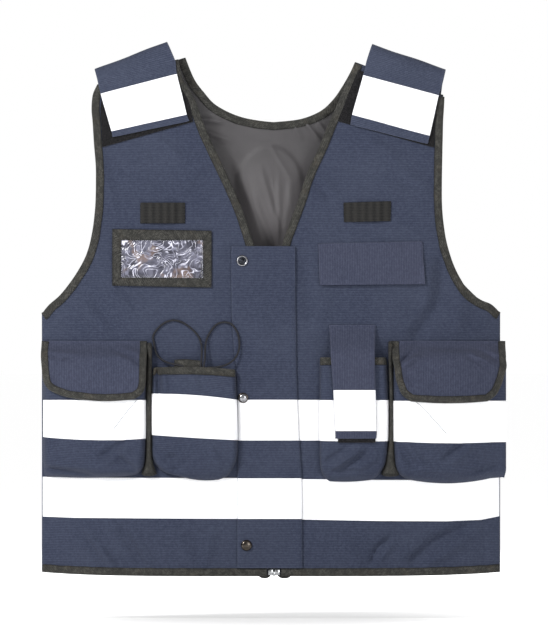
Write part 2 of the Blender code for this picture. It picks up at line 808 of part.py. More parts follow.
def make_shoulders():
    for name in LEAN:
        front = spread(STRAP_FRONT[name], even(STRAP_COLUMNS))
        back = spread(STRAP_BACK[name], even(STRAP_COLUMNS))
        top = spread([STRAP_TOP[name]], even(STRAP_COLUMNS))[0]
        rows = [[place(x, z, -1, STRAP_LOW) for x, z in row] for row in front]
        landing = [[place(x, z, 1, STRAP_LOW) for x, z in row] for row in back]
        shoulder = rows[-1]
        for angle in range(FOLD_STEP, 180, FOLD_STEP):
            rows.append([over(a, b, t, math.radians(angle)) for a, b, t in zip(shoulder, landing[0], top)])
        rows += landing
        ways = normals(rows)
        slab("shoulder_strap_" + name, [(rows, lifted(rows, ways, CLOTH))], "navy_cloth")
        band = front[STRAP_TAPE_ROWS]
        low = STRAP_LOW + CLOTH + GAP
        layer("strap_tape_" + name, band, -1, low, low + TAPE, "white_tape")
        patch = spread(LOOP_PATCH[name], even(STRAP_COLUMNS))
        layer("shoulder_loop_patch_" + name, patch, -1, ON_CLOTH, ON_CLOTH + LOOP_THICK, "black_loop")


def over(front, back, top, angle):
    """A point of the strap's fold, on half an ellipse from the front over the top to the back."""
    middle = (front + back) / 2
    crown = Vector((top[0], middle.y, top[1]))
    return middle + (front - middle) * math.cos(angle) + (crown - middle) * math.sin(angle)


# Front closing


def placket_row(z):
    return (lookup_level(PLACKET, z, 1), z, lookup_level(PLACKET, z, 2), z)


def lookup_level(rows, z, column):
    """The value of a column at a level, where the rows run down."""
    return lookup([(-row[0], *row[1:]) for row in rows], -z, column)


def make_placket():
    shares = even(PLACKET_COLUMNS)
    rows = [placket_row(z) for z, _, _ in PLACKET]
    layer("placket", spread(rows, shares), -1, ON_TRIM, PLACKET_TOP, "navy_cloth")
    for name, (top, bottom) in PLACKET_BANDS.items():
        band = spread([placket_row(top), placket_row(bottom)], shares)
        layer(f"placket_{name}_tape", band, -1, ON_PLACKET, ON_PLACKET + TAPE, "white_tape")
    for name, (x, z, height) in SNAPS.items():
        make_snap("snap_" + name, x, z, height)


def make_snap(node, x, z, height):
    """A domed cap that lies square on the cloth."""
    base = place(x, z, -1, height)
    across = (place(x + 1.0, z, -1, height) - base).normalized()
    out = across.cross(place(x, z + 1.0, -1, height) - base).normalized()
    up = out.cross(across)
    points = [base + out * SNAP_TOP, base]
    for radius, rise in SNAP_PROFILE:
        for k in range(SNAP_SIDES):
            turn = math.tau * k / SNAP_SIDES
            ray = across * math.cos(turn) + up * math.sin(turn)
            points.append(base + ray * radius + out * rise)
    faces = []
    last = 2 + (len(SNAP_PROFILE) - 1) * SNAP_SIDES
    for k in range(SNAP_SIDES):
        after = (k + 1) % SNAP_SIDES
        faces.append([0, 2 + k, 2 + after])
        faces.append([1, last + k, last + after])
        for r in range(2, last, SNAP_SIDES):
            faces.append([r + k, r + after, r + SNAP_SIDES + after, r + SNAP_SIDES + k])
    solid(node, points, faces, "dark_metal")


def make_zip():
    levels = [row[0] for row in ZIP_CHAIN[:-2]] + [ZIP_END]
    for name, (left, right) in ZIP_TAPES.items():
        rows = [(left, z, right, z) for z in levels]
        layer("zip_tape_" + name, spread(rows, even(1)), -1, ZIP_LOW, ZIP_LOW + TRIM, "black_binding")
    rows = [(left, z, right, z) for z, left, right in ZIP_CHAIN]
    low = ZIP_LOW + TRIM + GAP
    layer("zip_chain", spread(rows, even(1)), -1, low, low + CHAIN_THICK, "bright_metal")


def make_bands():
    for node, rows in BANDS.items():
        strip(node, rows, 1 if node.startswith("back") else -1, ON_CLOTH, "white_tape")


# Chest


def make_tabs():
    for name, rows in MIC_TABS.items():
        left, right = rows[0][0], rows[0][2]

        def bow(x, z, left=left, right=right):
            return TAB_BOW * math.sin(math.pi * min(1.0, max(0.0, (x - left) / (right - left))))

        grid = spread(rows, even(TAB_COLUMNS))
        layer("mic_tab_" + name, grid, -1, ON_CLOTH, ON_CLOTH + WEBBING, "black_webbing", bow)


def make_id_window():
    outer, inner = border(ID_OUTER), border(ID_WINDOW)
    layer("id_window_frame", [outer, inner], -1, ON_TRIM, ON_TRIM + TRIM, "black_binding")
    left, top, right, _, _, bottom = ID_WINDOW[:6]
    rows = [
        (left - FILM_LAP, top + FILM_LAP, right + FILM_LAP, top + FILM_LAP),
        (left - FILM_LAP, bottom - FILM_LAP, right + FILM_LAP, bottom - FILM_LAP),
    ]
    layer("id_window_film", spread(rows, even(FILM_COLUMNS)), -1, ON_CLOTH, ON_CLOTH + TRIM, "clear_film")


def border(corners):
    """Points round a four-sided outline, back to the first."""
    a, b, c, d, e, f, g, h = corners
    turns = ((a, b), (c, d), (g, h), (e, f), (a, b))
    found = []
    for start, end, count in zip(turns, turns[1:], FRAME_COUNTS):
        for s in even(count)[:-1]:
            found.append((between(start[0], end[0], s), between(start[1], end[1], s)))
    return found + found[:1]


def make_chest_flap():
    top, bottom = CHEST_FLAP[0][1], CHEST_FLAP[-1][1]

    def rise(x, z):
        return CHEST_FLAP_RISE * ease((top - z) / (top - bottom))

    grid = spread(CHEST_FLAP, even(TAB_COLUMNS))
    layer("chest_flap", grid, -1, ON_CLOTH, ON_CLOTH + CLOTH, "navy_cloth", rise)


# Pockets


def bag_columns(row, wall, middle, bulge):
    """Places across a row of a bag: x, z and the share of the depth there."""
    left_x, left_z, right_x, right_z, _, sag = row
    span = right_x - left_x
    found = []
    for angle in WALL_ANGLES[:-1]:
        turn = math.radians(angle)
        found.append((wall * (1.0 - math.cos(turn)) / span, math.sin(turn), 0.0))
    for s in even(middle):
        found.append((between(wall / span, 1.0 - wall / span, s), 1.0, 0.0))
    for angle in WALL_ANGLES[-2::-1]:
        turn = math.radians(angle)
        out = bulge * math.sin(2 * turn)
        found.append((1.0 - wall * (1.0 - math.cos(turn)) / span, math.sin(turn), out))
    places = []
    for share, swell, out in found:
        drop = sag * 4.0 * share * (1.0 - share)
        places.append((left_x + span * share + out, between(left_z, right_z, share) - drop, swell))
    return places


def bag_grid(node):
    """The outer face of a pocket bag."""
    kind = node.rsplit("_", 1)[0]
    bulge = SIDE_BULGE if node == "cargo_bag_left" else 0.0
    grid = []
    for row in BAGS[node]:
        places = bag_columns(row, BAG_WALL[kind], BAG_MIDDLE[kind], bulge)
        depth = BAG_DEPTH[kind] * row[4]
        grid.append([place(x, z, -1, BAG_BASE + depth * swell) for x, z, swell in places])
    return grid


def make_bag(node):
    kind, name = node.rsplit("_", 1)
    grid = bag_grid(node)
    ways = normals(grid)
    inner = lifted(grid, ways, -CLOTH)
    for row in inner:
        for point in row:
            point.y = min(point.y, -(skin(point.x, point.z, -1) + BAG_BASE))
    slab(node, [(inner, grid)], "navy_cloth")
    band = [row[1:-1] for row in grid[BAG_TAPE_ROWS]]
    band_ways = [row[1:-1] for row in ways[BAG_TAPE_ROWS]]
    faces = (lifted(band, band_ways, GAP), lifted(band, band_ways, GAP + TAPE))
    slab(kind.replace("bag", "tape") + "_" + name, [faces], "white_tape")
    if kind == "small_bag":
        mouth = list(zip(grid[0], grid[1], ways[0]))[2:-2]
        channel("small_mouth_binding_" + name, mouth_stations(mouth), CLOTH, "black_binding")


def mouth_stations(mouth):
    """Stations for a channel over the mouth of a bag."""

    def station(edge, below, way):
        down = (below - edge).normalized()
        return lambda d, h: edge + down * d + way * (h - CLOTH)

    return [station(*row) for row in mouth]


def flap_lift(name):
    """How far a cargo flap stands off the form."""
    rows = FLAPS[name]
    full = BAG_BASE + BAG_DEPTH["cargo_bag"] + FLAP_CLEAR - FLAP_BASE

    def lift(x, z):
        left, right = (lookup_level(rows, z, column) for column in (1, 2))
        edge = max(0.0, min(x - left, right - x)) / DROOP_WIDTH
        past = SIDE_SLOPE * max(0.0, abs(x) - HALF_WIDTH)
        rise = ease((rows[0][0] - z) / FLAP_BEND)
        return FLAP_BASE - past + (full - FLAP_DROOP * (1.0 - min(1.0, edge))) * rise

    return lift


def make_flaps():
    for name in LEAN:
        lift = flap_lift(name)
        out = BINDING_OUT
        grid = []
        for level, left, right, sag in FLAPS[name]:
            places = [(between(left + out, right - out, s), s) for s in FLAP_SHARES]
            grid.append([(x, level - sag * 4.0 * s * (1.0 - s)) for x, s in places])
        layer("cargo_flap_" + name, grid, -1, 0.0, FLAP_CLOTH, "navy_cloth", lift)
        rim = [row[0] for row in grid] + grid[-1][1:-1] + [row[-1] for row in grid[::-1]]
        centre = grid[3][len(FLAP_SHARES) // 2]
        stations = edge_stations(rim, centre, -1, lift)
        channel("cargo_flap_binding_" + name, stations, FLAP_CLOTH, "black_binding", FLAP_BINDING_WIDTH)


def make_edge_strips():
    for name, rows in EDGE_STRIPS.items():
        grid = spread([(left, z, right, z) for z, left, right in rows], even(1))
        layer("cargo_edge_strip_" + name, grid, -1, BAG_BASE, BAG_BASE + STRIP_HEIGHT, "black_binding")


def light_lift(x, z):
    return LIGHT_FLAP_OUT * ease((LIGHT_FLAP[0][0] - z) / LIGHT_FLAP_BEND)


def make_light_flap():
    def grid(rows):
        return spread([(left, z, right, z) for z, left, right in rows], even(LIGHT_COLUMNS))

    layer("light_flap", grid(LIGHT_FLAP), -1, ON_CLOTH, ON_CLOTH + CLOTH, "navy_cloth", light_lift)
    low = ON_CLOTH + CLOTH + GAP
    layer("light_flap_tape", grid(LIGHT_FLAP_BAND), -1, low, low + TAPE, "white_tape", light_lift)
    layer("light_flap_patch", grid(LIGHT_FLAP_PATCH), -1, PATCH_LOW, PATCH_LOW + PATCH_THICK, "black_loop")


def make_cords():
    for name, route in CORDS.items():
        points = [place(x, z, -1, height) * MM for x, z, height in route]
        points = smooth([tuple(p) for p in points], CORD_STEPS)
        node = "cord_loop_" + name
        curve = bpy.data.curves.new(node, "CURVE")
        curve.dimensions = "3D"
        curve.bevel_depth = CORD_THICK / 2 * MM
        curve.bevel_resolution = 2
        curve.use_fill_caps = True
        line = curve.splines.new("POLY")
        line.points.add(len(points) - 1)
        for point, (x, y, z) in zip(line.points, points):
            point.co = (x, y, z, 1.0)
        made = bpy.data.objects.new(node, curve)
        made.data.materials.append(finish(node, "black_cord"))
        bpy.context.scene.collection.objects.link(made)


def main():
    for old in list(bpy.data.objects):
        bpy.data.objects.remove(old)
    make_fronts()
    make_back()
    make_shoulders()
    make_placket()
    make_zip()
    make_bands()
    make_tabs()
    make_id_window()
    make_chest_flap()
    for node in BAGS:
        make_bag(node)
    make_flaps()
    make_edge_strips()
    make_light_flap()
    make_cords()


main()
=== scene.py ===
"""The work vest dressed for its picture: fine cloth with folds, bound edges, stitches and finishes.

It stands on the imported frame. Places are in millimetres, as in the part's source, and MM turns them into
metres. +Z is up, the front faces -Y and the wearer's left is +X.
"""

import json
import math

import bpy
import numpy as np
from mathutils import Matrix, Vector

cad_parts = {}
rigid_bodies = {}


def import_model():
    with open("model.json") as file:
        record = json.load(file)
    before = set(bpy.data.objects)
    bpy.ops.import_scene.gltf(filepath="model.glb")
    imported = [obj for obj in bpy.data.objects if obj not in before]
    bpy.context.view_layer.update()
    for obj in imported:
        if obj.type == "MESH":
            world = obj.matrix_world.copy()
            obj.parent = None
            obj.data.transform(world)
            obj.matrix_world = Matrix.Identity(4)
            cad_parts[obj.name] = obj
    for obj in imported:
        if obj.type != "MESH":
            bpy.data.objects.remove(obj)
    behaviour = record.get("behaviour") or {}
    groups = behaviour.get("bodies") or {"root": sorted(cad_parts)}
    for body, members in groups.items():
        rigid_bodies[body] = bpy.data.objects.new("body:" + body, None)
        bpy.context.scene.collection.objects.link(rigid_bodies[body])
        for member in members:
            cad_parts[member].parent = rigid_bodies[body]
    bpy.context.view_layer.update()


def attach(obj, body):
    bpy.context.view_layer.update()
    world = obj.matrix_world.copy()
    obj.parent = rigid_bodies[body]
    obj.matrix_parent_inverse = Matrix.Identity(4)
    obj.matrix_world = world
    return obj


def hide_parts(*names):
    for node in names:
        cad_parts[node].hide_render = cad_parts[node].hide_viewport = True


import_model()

MM = 0.001

# The form that the cloth hangs in
HALF_WIDTH = 286.0
FRONT_DEPTH = 54.0
BACK_DEPTH = 48.0
SHOULDER_DEPTH = 9.0
CHEST_LEVEL = -400.0
FORM_POWER = 3.2
SEAM_GAP = 0.3
SIDE_GAPE = 5.0
UNDERARM_LEVEL = -320.0
VENT_LEVEL = -600.0
GAPE_HEIGHT = 27.0
WAVE_HEIGHT = 2.5
WAVE_LENGTH = 210.0
WAVE_START = -430.0

# The hem, the centre edges and the levels between the underarm and the hem
HEM_LEVEL = -647.0
HEM_RISE = 4.5
BACK_CENTRE = 3.0
FRONT_CENTRE = {"right": -5, "left": 12.5}
LOWER_LEVELS = (-350, -400, -470, -540, -600, -630)

# Layers, as heights above the inner face of the cloth
CLOTH = 1.6
LINING = 1.0
GAP = 0.5
TRIM = 1.0
ON_CLOTH = CLOTH + GAP
ON_TRIM = ON_CLOTH + TRIM + GAP
PLACKET_TOP = ON_TRIM + 1.6
ON_PLACKET = PLACKET_TOP + GAP
TAPE = 0.8

# The folded binding
BINDING_WIDTH = 8.3
BINDING_WALL = 1.0
BINDING_OUT = 1.5
BINDING_SEAM = 1.4

# How uneven it is: share of its width, length of the waves, millimetres of puff
BINDING_WAVER = 0.035
BINDING_WAVE = 31.0
BINDING_PUFF = 0.16

# A point well inside each panel, below the armhole, and levels far above and below the back
INSIDE_X = 150.0
INSIDE_LEVEL = -300.0
FAR = 2000.0

# Columns: neck_x, neck_z, arm_x, arm_z. Each row runs from the neck edge to the armhole edge,
# outside the bindings
FRONT_EDGES = {
    "right": (
        (-115.6, -2, -217, -33), (-110.5, -25, -222.8, -46), (-99, -44.5, -224.3, -64), (-92, -60, -223, -79.5),
        (-81, -90, -221.3, -106.5), (-68.5, -117.5, -219, -135), (-53, -150, -218.8, -160),
        (-38, -184, -219.6, -186), (-27.5, -214, -222.6, -213), (-20.5, -236.5, -227.3, -235.5),
        (-13.5, -256, -234.3, -254), (-5, -277, -247.6, -276), (-5, -296, -263.3, -296),
        (-5, -310, -277.5, -308.5), (-5, -322, -286, -319),
    ),
    "left": (
        (105, -6, 216.8, -48.8), (92.5, -34, 216.2, -62.5), (82.8, -57.5, 215.1, -80), (72, -82, 214.5, -105),
        (59, -114, 213.9, -132), (45.5, -143, 213.5, -157), (34.5, -176, 213.6, -181), (24, -205, 215.3, -205),
        (14.5, -232, 219.9, -232.5), (12.5, -259, 228.3, -259), (12.5, -278, 237.9, -278),
        (12.5, -292, 247.4, -291.5), (12.5, -302, 261.8, -302), (12.5, -310, 275.5, -308),
        (12.5, -320, 286, -318),
    ),
}
BACK_EDGES = {
    "right": (
        (-107, 0.5, -216, -32), (-96, -26, -221.5, -48), (-84, -42.5, -223, -64), (-69, -58.5, -221.7, -80),
        (-44, -71.3, -220, -104), (-20, -77.3, -218.5, -128), (3, -80, -217.6, -150), (3, -150, -220, -200),
        (3, -222, -230.5, -247), (3, -255, -245, -274), (3, -285, -262, -295.5), (3, -305, -277, -308.5),
        (3, -322, -286, -319.5),
    ),
    "left": (
        (105, -5, 215.5, -46), (99, -18, 215, -60), (90, -34, 214, -78), (77.5, -52, 213.4, -96),
        (61, -66.7, 212.8, -116), (36, -76.3, 212.4, -136), (3, -80, 212.3, -156), (3, -150, 214, -203),
        (3, -222, 226, -255), (3, -255, 236.5, -277), (3, -285, 260.5, -301.5), (3, -305, 274.5, -307.8),
        (3, -322, 286, -318.5),
    ),
}
LAST_NECK_ROW = {"front_right": 11, "front_left": 9, "back": 6}
LEAN = {"right": -1, "left": 1}

# Folds of the loose lining, which run down and fade towards its edges
LINING_FOLD = 3.0
LINING_FOLD_LENGTH = 62.0
LINING_FOLD_LEAN = 0.12
FOLD_TOP = -105.0
FOLD_FADE = 90.0
FOLD_REACH = 196.0
FOLD_FOOT = -617.0
FOOT_FADE = 120.0

# Shoulder straps, from the loose end to the fold and on down the back.
# Columns: neck_x, neck_z, arm_x, arm_z
STRAP_FRONT = {
    "right": (
        (-102.4, -78.9, -197.6, -98.9), (-105.3, -71.1, -199, -91.8), (-111.5, -45.7, -205.8, -68.3),
        (-117.8, -20.3, -212.5, -44.9), (-119.5, -4.5, -216.6, -27),
    ),
    "left": (
        (99.6, -83.6, 195.3, -107.5), (101.5, -71.3, 197.8, -97.5), (108.5, -46.5, 203.5, -72.2),
        (115.4, -21.8, 209.1, -47), (120, -3, 213.8, -31),
    ),
}
STRAP_TOP = {"right": (-129.8, 19, -219.6, -15.4), "left": (126.4, 15.7, 217.8, -15.4)}
STRAP_BACK = {
    "right": ((-119.5, -6, -216, -29), (-110, -52, -211, -76)),
    "left": ((120, -6, 213.8, -33), (110, -52, 208, -78)),
}
STRAP_TAPE_ROWS = slice(1, 4)
LOOP_THICK = 1.2
STRAP_LOW = ON_CLOTH + LOOP_THICK + GAP
LOOP_PATCH = {
    "right": (
        (-120.5, -12, -209.5, -42), (-114.5, -33, -212.6, -62), (-102.5, -55, -211.6, -84),
        (-97.6, -79.8, -210.2, -111.3),
    ),
    "left": (
        (109, -15, 205.3, -55), (98.6, -40, 204.6, -75), (90.4, -62, 204, -95), (83.4, -79, 203.6, -111.8),
    ),
}

# The placket. Columns: level, left_x, right_x
PLACKET = (
    (-235.8, -49, 29.8), (-262, -49.2, 30), (-300, -49, 30.3), (-335, -48, 30.8), (-365, -46, 31.2),
    (-400, -42.6, 31.8), (-470, -41.4, 34.6), (-523, -41.5, 37.9), (-580, -41.7, 38.5), (-636.5, -41.8, 38.9),
)
PLACKET_BANDS = {"upper": (-427.1, -477.5), "lower": (-525, -575.3)}

# Press studs. Columns: x, level, what it sits on
SNAPS = {
    "top": (-35.9, -253.8, ON_PLACKET),
    "middle": (-34.8, -424.6, ON_PLACKET + TAPE + GAP),
    "bottom": (-30.5, -608.4, ON_PLACKET),
}

# The zip behind the placket. The chain: its lowest level, left_x, right_x
ZIP_TOP = -285.0
ZIP_END = -649.4
ZIP_FOOT = 3.0
ZIP_TAPES = {"right": (-15.4, -0.8), "left": (8.6, 24.9)}
ZIP_LOW = -3.1
CHAIN_THICK = 2.6
ZIP_CHAIN = (-637.3, 0.3, 7.3)
TOOTH_PITCH = 1.35
TOOTH_HEIGHT = 0.95

# The slider. Columns: left_x, right_x, low, high, height of its back and face, rounding
ZIP_SLIDER = (
    (-3.9, 3.2, -645.6, -637.6, 0, CHAIN_THICK, 0.8), (4.2, 11.4, -645.6, -637.6, 0, CHAIN_THICK, 0.8),
    (1.8, 5.6, -646.4, -640.6, 0.4, CHAIN_THICK + 0.5, 0.6),
)

# Reflective bands on the cloth. Columns: x, top, bottom
BANDS = {
    "front_lower_tape_right": ((-285.2, -523.5, -573), (-244, -524.3, -574.3), (-38, -524.6, -575.3)),
    "front_lower_tape_left": (
        (34, -526, -576), (136, -527, -578), (220, -527.2, -578.5), (262, -526.2, -577),
        (285.2, -522.5, -572.5),
    ),
    "front_upper_tape_left": ((30, -427.2, -477.6), (150, -427.5, -478)),
    "back_upper_tape": ((-285.2, -427, -477), (285.2, -427, -477)),
    "back_lower_tape": ((-285.2, -525, -575), (285.2, -525, -575)),
}

# Chest pieces
MIC_TABS = {
    "right": ((-162.8, -181.3, -107.6, -181.3), (-162.8, -206.5, -107.6, -206.5)),
    "left": ((90.8, -181.3, 149.6, -179.6), (91.5, -205, 149.1, -203.8)),
}
WEBBING = 1.4
TAB_BOW = 1.8
TAB_END = 0.16
TAB_RISE = 0.12
TAB_COLUMNS = 48
TAB_SEAMS = (1, 7, 41, 47)
ID_OUTER = (-197.9, -214.1, -74.3, -216.3, -197.9, -284.5, -74.3, -286.9)
ID_WINDOW = (-187.5, -227.5, -84.4, -227.5, -187.5, -274.8, -84.4, -275.6)
FILM_LAP = 3.0
CHEST_FLAP = ((59.1, -232.5, 188.5, -229.6), (60.2, -258, 190.2, -256), (61.4, -283.8, 191.8, -282.3))
CHEST_FLAP_RISE = 2.4

# Pocket bags, from the mouth down. Columns: left_x, left_z, right_x, right_z, swell, sag
BAG_BASE = ON_TRIM
BAGS = {
    "cargo_bag_right": (
        (-285, -372, -155.6, -372, 0.8, 0), (-285, -398, -155.6, -398, 1, 0),
        (-285, -427.5, -155.6, -427.3, 1, 0), (-285, -473.3, -155.6, -475, 1, 3),
        (-284.5, -505, -157.5, -506, 1, 2), (-283.8, -515, -161, -514.5, 0.87, 2),
        (-283, -520, -166, -519, 0.5, 2), (-282, -522.5, -172, -521.5, 0, 2.5),
    ),
    "cargo_bag_left": (
        (151.8, -372, 285, -372, 0.8, 0), (151.8, -398, 285, -398, 1, 0), (151.8, -428.4, 285, -428.4, 1, 0),
        (152.2, -478.4, 285, -479.5, 1, 2), (154, -505, 285, -505, 1, 3), (157, -516, 285, -514, 0.87, 5),
        (163, -522.5, 284, -519.5, 0.5, 6), (172, -526.5, 283, -523, 0, 6.5),
    ),
    "small_bag_right": (
        (-147.5, -388.3, -44, -390.6, 0.9, -2.4), (-148.2, -398, -43.6, -400.4, 0.95, -2),
        (-148.8, -419.5, -42.6, -427, 1, -2), (-148.8, -470.5, -41.6, -477, 1, 0.5),
        (-148, -498, -42.2, -498, 1, 0), (-141, -511, -47.5, -512, 0.87, 2),
        (-131, -518, -54, -521.5, 0.5, 3.5), (-116, -521.5, -65, -526.5, 0, 3),
    ),
    "small_bag_left": (
        (60.6, -375.3, 143.4, -375.3, 0.9, 0), (60.6, -385, 144.6, -385, 0.95, 0),
        (60.6, -427.5, 146.2, -427.5, 1, 0), (60.6, -477.8, 146, -478.3, 1, 0.5), (61, -505, 143, -505, 1, 0.5),
        (63, -517, 138, -515, 0.87, 1), (67, -524, 133, -521.5, 0.5, 1.5), (73, -528.5, 127, -526.5, 0, 1.5),
    ),
}
BAG_DEPTH = {"cargo_bag": 16, "small_bag": 12}
BAG_WALL = {"cargo_bag": 9, "small_bag": 6}
BAG_TAPE_ROWS = slice(2, 4)
SIDE_BULGE = 11.3

# Cargo flaps, outside their bindings. Columns: level, left_x, right_x, sag
FLAPS = {
    "right": (
        (-354, -286.6, -154.6, 0), (-361, -287, -154.7, 0), (-371, -287.5, -154.9, 0),
        (-386, -286.5, -155.3, 0), (-401, -285, -155.6, 0), (-411, -281, -157, 0), (-418, -272, -161, 1),
        (-423.5, -257, -169.5, 6),
    ),
    "left": (
        (-354, 150.8, 293, 0), (-361, 150.8, 293, 0), (-371, 151.3, 293.6, 0), (-377, 151.3, 293.6, 0),
        (-386, 153.3, 294.3, 0), (-401, 155.4, 290.3, 0), (-411, 158.8, 286.5, 0), (-420, 163, 281.5, 0),
        (-427.5, 173, 272, 3),
    ),
}
FLAP_BASE = CLOTH + 2 * GAP + BINDING_WALL
FLAP_CLEAR = 4.3
FLAP_CLOTH = 1.5
FLAP_BEND = 24.0
FLAP_DROOP = 0.9
SIDE_SLOPE = 0.6
DROOP_WIDTH = 11.0
FLAP_BINDING_WIDTH = 7.2

# Dark strips on the gusset beside each cargo pocket. Columns: level, left_x, right_x
EDGE_STRIPS = {
    "right": (
        (-359, -154.6, -148.4), (-400, -155.2, -148.9), (-431, -155.4, -149), (-480, -155.4, -149),
        (-500, -155.8, -148.4), (-508, -157.4, -147), (-519, -161, -143),
    ),
    "left": (
        (-357, 146.4, 151.8), (-388, 146.8, 152), (-424, 147.6, 152.4), (-441, 147.6, 152.6), (-480, 147, 153),
        (-492, 145.6, 153.6), (-508, 142.6, 155.4), (-519.5, 138, 160),
    ),
}
STRIP_HEIGHT = 11.0

# The long flap over the small left pocket. Columns: level, left_x, right_x
LIGHT_FLAP = (
    (-333.8, 72.9, 130), (-343, 73.5, 129.7), (-353, 74, 129.4), (-363, 74.5, 129.2), (-374, 75, 128.9),
    (-415, 77.9, 130), (-465.6, 80.5, 131.3), (-475, 80.5, 130.6),
)
LIGHT_FLAP_OUT = 17.1
LIGHT_FLAP_BEND = 38.0
LIGHT_FLAP_BAND = ((-415, 77.9, 130), (-440, 79.2, 130.6), (-465.6, 80.5, 131.3))
LIGHT_FLAP_PATCH = ((-440, 83.8, 130), (-480, 83.8, 130))
PATCH_LOW = 18.6
PATCH_THICK = 1.1

# Cord loops. Columns: x, level, height above the form
CORD_THICK = 2.4
CORD_SIDES = 10
CORDS = {
    "outer": (
        (-88.1, -386, 13.2), (-86.6, -376, 12), (-86.4, -364, 8), (-87.5, -355, 5), (-91.5, -346.5, 3.8),
        (-99.5, -338, 3.5), (-110, -330.8, 3.5), (-120.5, -327.9, 3.5), (-131.3, -330.4, 3.5),
        (-140.8, -337.8, 3.5), (-146.9, -347.5, 3.5), (-146, -356, 4), (-144, -366, 5.5), (-139.5, -374, 8),
        (-130.3, -380, 10.5), (-118.8, -383, 12.4), (-108, -385.2, 13.2),
    ),
    "inner": (
        (-84, -386.2, 13.2), (-82.4, -376, 12), (-82, -364, 8), (-80.5, -353, 5), (-76.5, -344, 3.8),
        (-70.5, -335.5, 3.5), (-64, -331.2, 3.5), (-56.5, -330.4, 3.5), (-49.2, -332.6, 6.8),
        (-42.8, -341.3, 7.4), (-40, -350, 7.5), (-39.5, -362, 8.5), (-42.5, -371.5, 10), (-48, -378.5, 11.8),
        (-56.5, -383.6, 12.9), (-68, -386.4, 13.2), (-78.5, -386.6, 13.2),
    ),
}

# Folds and dents. Columns: x, level, to x, to level, half width, height
FRONT_FOLDS = (
    (-192, -284, -164, -316, 5, -3.4), (-183, -280, -158, -308, 4, 2.4), (-213, -120, -196, -190, 7, 2.6),
    (-68, -137, -101, -166, 6, -2.6), (-60, -146, -92, -172, 4.5, 1.8), (213, -246, 214, -300, 9, -5),
    (212, -304, 178, -352, 9, -5.4), (196, -262, 194, -310, 8, 3.6), (240, -290, 232, -345, 9, 3.2),
    (52, -152, 74, -178, 4, -3), (60, -150, 84, -172, 3.5, 2.2), (-232, -588, -194, -640, 4.5, 4.4),
    (-240, -586, -206, -638, 4, -3.6), (-189, -584, -160, -632, 6, -5.2), (-205, -612, -190, -636, 2.6, -2.4),
    (-197, -610, -182, -636, 2.6, 2.2), (-176, -588, -150, -634, 5, 3.2), (-120, -590, -96, -634, 7, 3),
    (-72, -588, -84, -636, 7, 2.4), (174, -630, 202, -604, 6, -6.2), (202, -604, 250, -580, 6, -6.2),
    (190, -636, 244, -602, 6, 4.6), (124, -632, 131, -612, 3, -4), (131, -612, 150, -597, 3, -3.8),
    (134, -630, 152, -606, 3.5, 3), (92, -600, 112, -634, 6, 2.8), (267, -577, 267, -646, 2.2, -2.6),
    (274, -577, 274, -646, 2.4, 1.6), (-238, -300, -205, -345, 8, 3.4), (-222, -300, -190, -342, 7, -2.4),
    (-60, -215, -75, -300, 9, 2.4), (70, -295, 60, -340, 8, 2.4), (-150, -95, -110, -125, 7, 2.2),
    (120, -100, 160, -130, 8, 2.4), (-190, -150, -150, -160, 6, 1.6), (165, -140, 196, -165, 6, 2),
    (40, -250, 48, -330, 7, -2),
)
BACK_FOLDS = (
    (-120, -140, -40, -260, 16, 2), (110, -150, 60, -300, 18, 2.2), (-200, -280, -150, -400, 12, 1.8),
    (205, -300, 170, -410, 12, 1.8), (-60, -590, -40, -640, 8, 1.6), (150, -590, 175, -640, 8, 1.6),
)
LINING_FOLDS = (
    (0.9, -111, 24, -150, 2.4, 0.9), (24, -154, 24, -186, 2.4, 0.8), (-12, -140, 6, -205, 2.8, 1.1),
    (-4, -146, 13, -210, 2.4, -0.8), (-35, -150, -11, -227, 3.2, 1.3), (-28, -156, -6, -227, 2.6, -1),
    (-22, -172, 0, -232, 2.8, 1.1), (-14, -178, 5, -232, 2.4, -0.9), (10, -150, 8, -232, 2.8, 0.9),
    (17, -160, 13, -228, 2.6, -0.8), (-52, -126, -33, -196, 4, -1), (-90, -76, -60, -80, 4, 2.6),
    (-80, -92, -50, -104, 4, 2.2), (44, -82, 62, -104, 3, 2.6), (29, -84, 38, -102, 3, 1.8),
    (58, -80, 70, -94, 2.6, 1.6),
)

# The lining's rounded bulge in the neck: middle, level, half width, rise, softness of its edge, height
LINING_DOME = (-1, -160, 43, 53, 0.12, 2.4)

# Its broad stand-off lower down: depth, top, foot, half width, and how softly it ends at the last three
LINING_BELLY = (26, -100, -420, 90)
BELLY_FADE = (120, 140, 80)

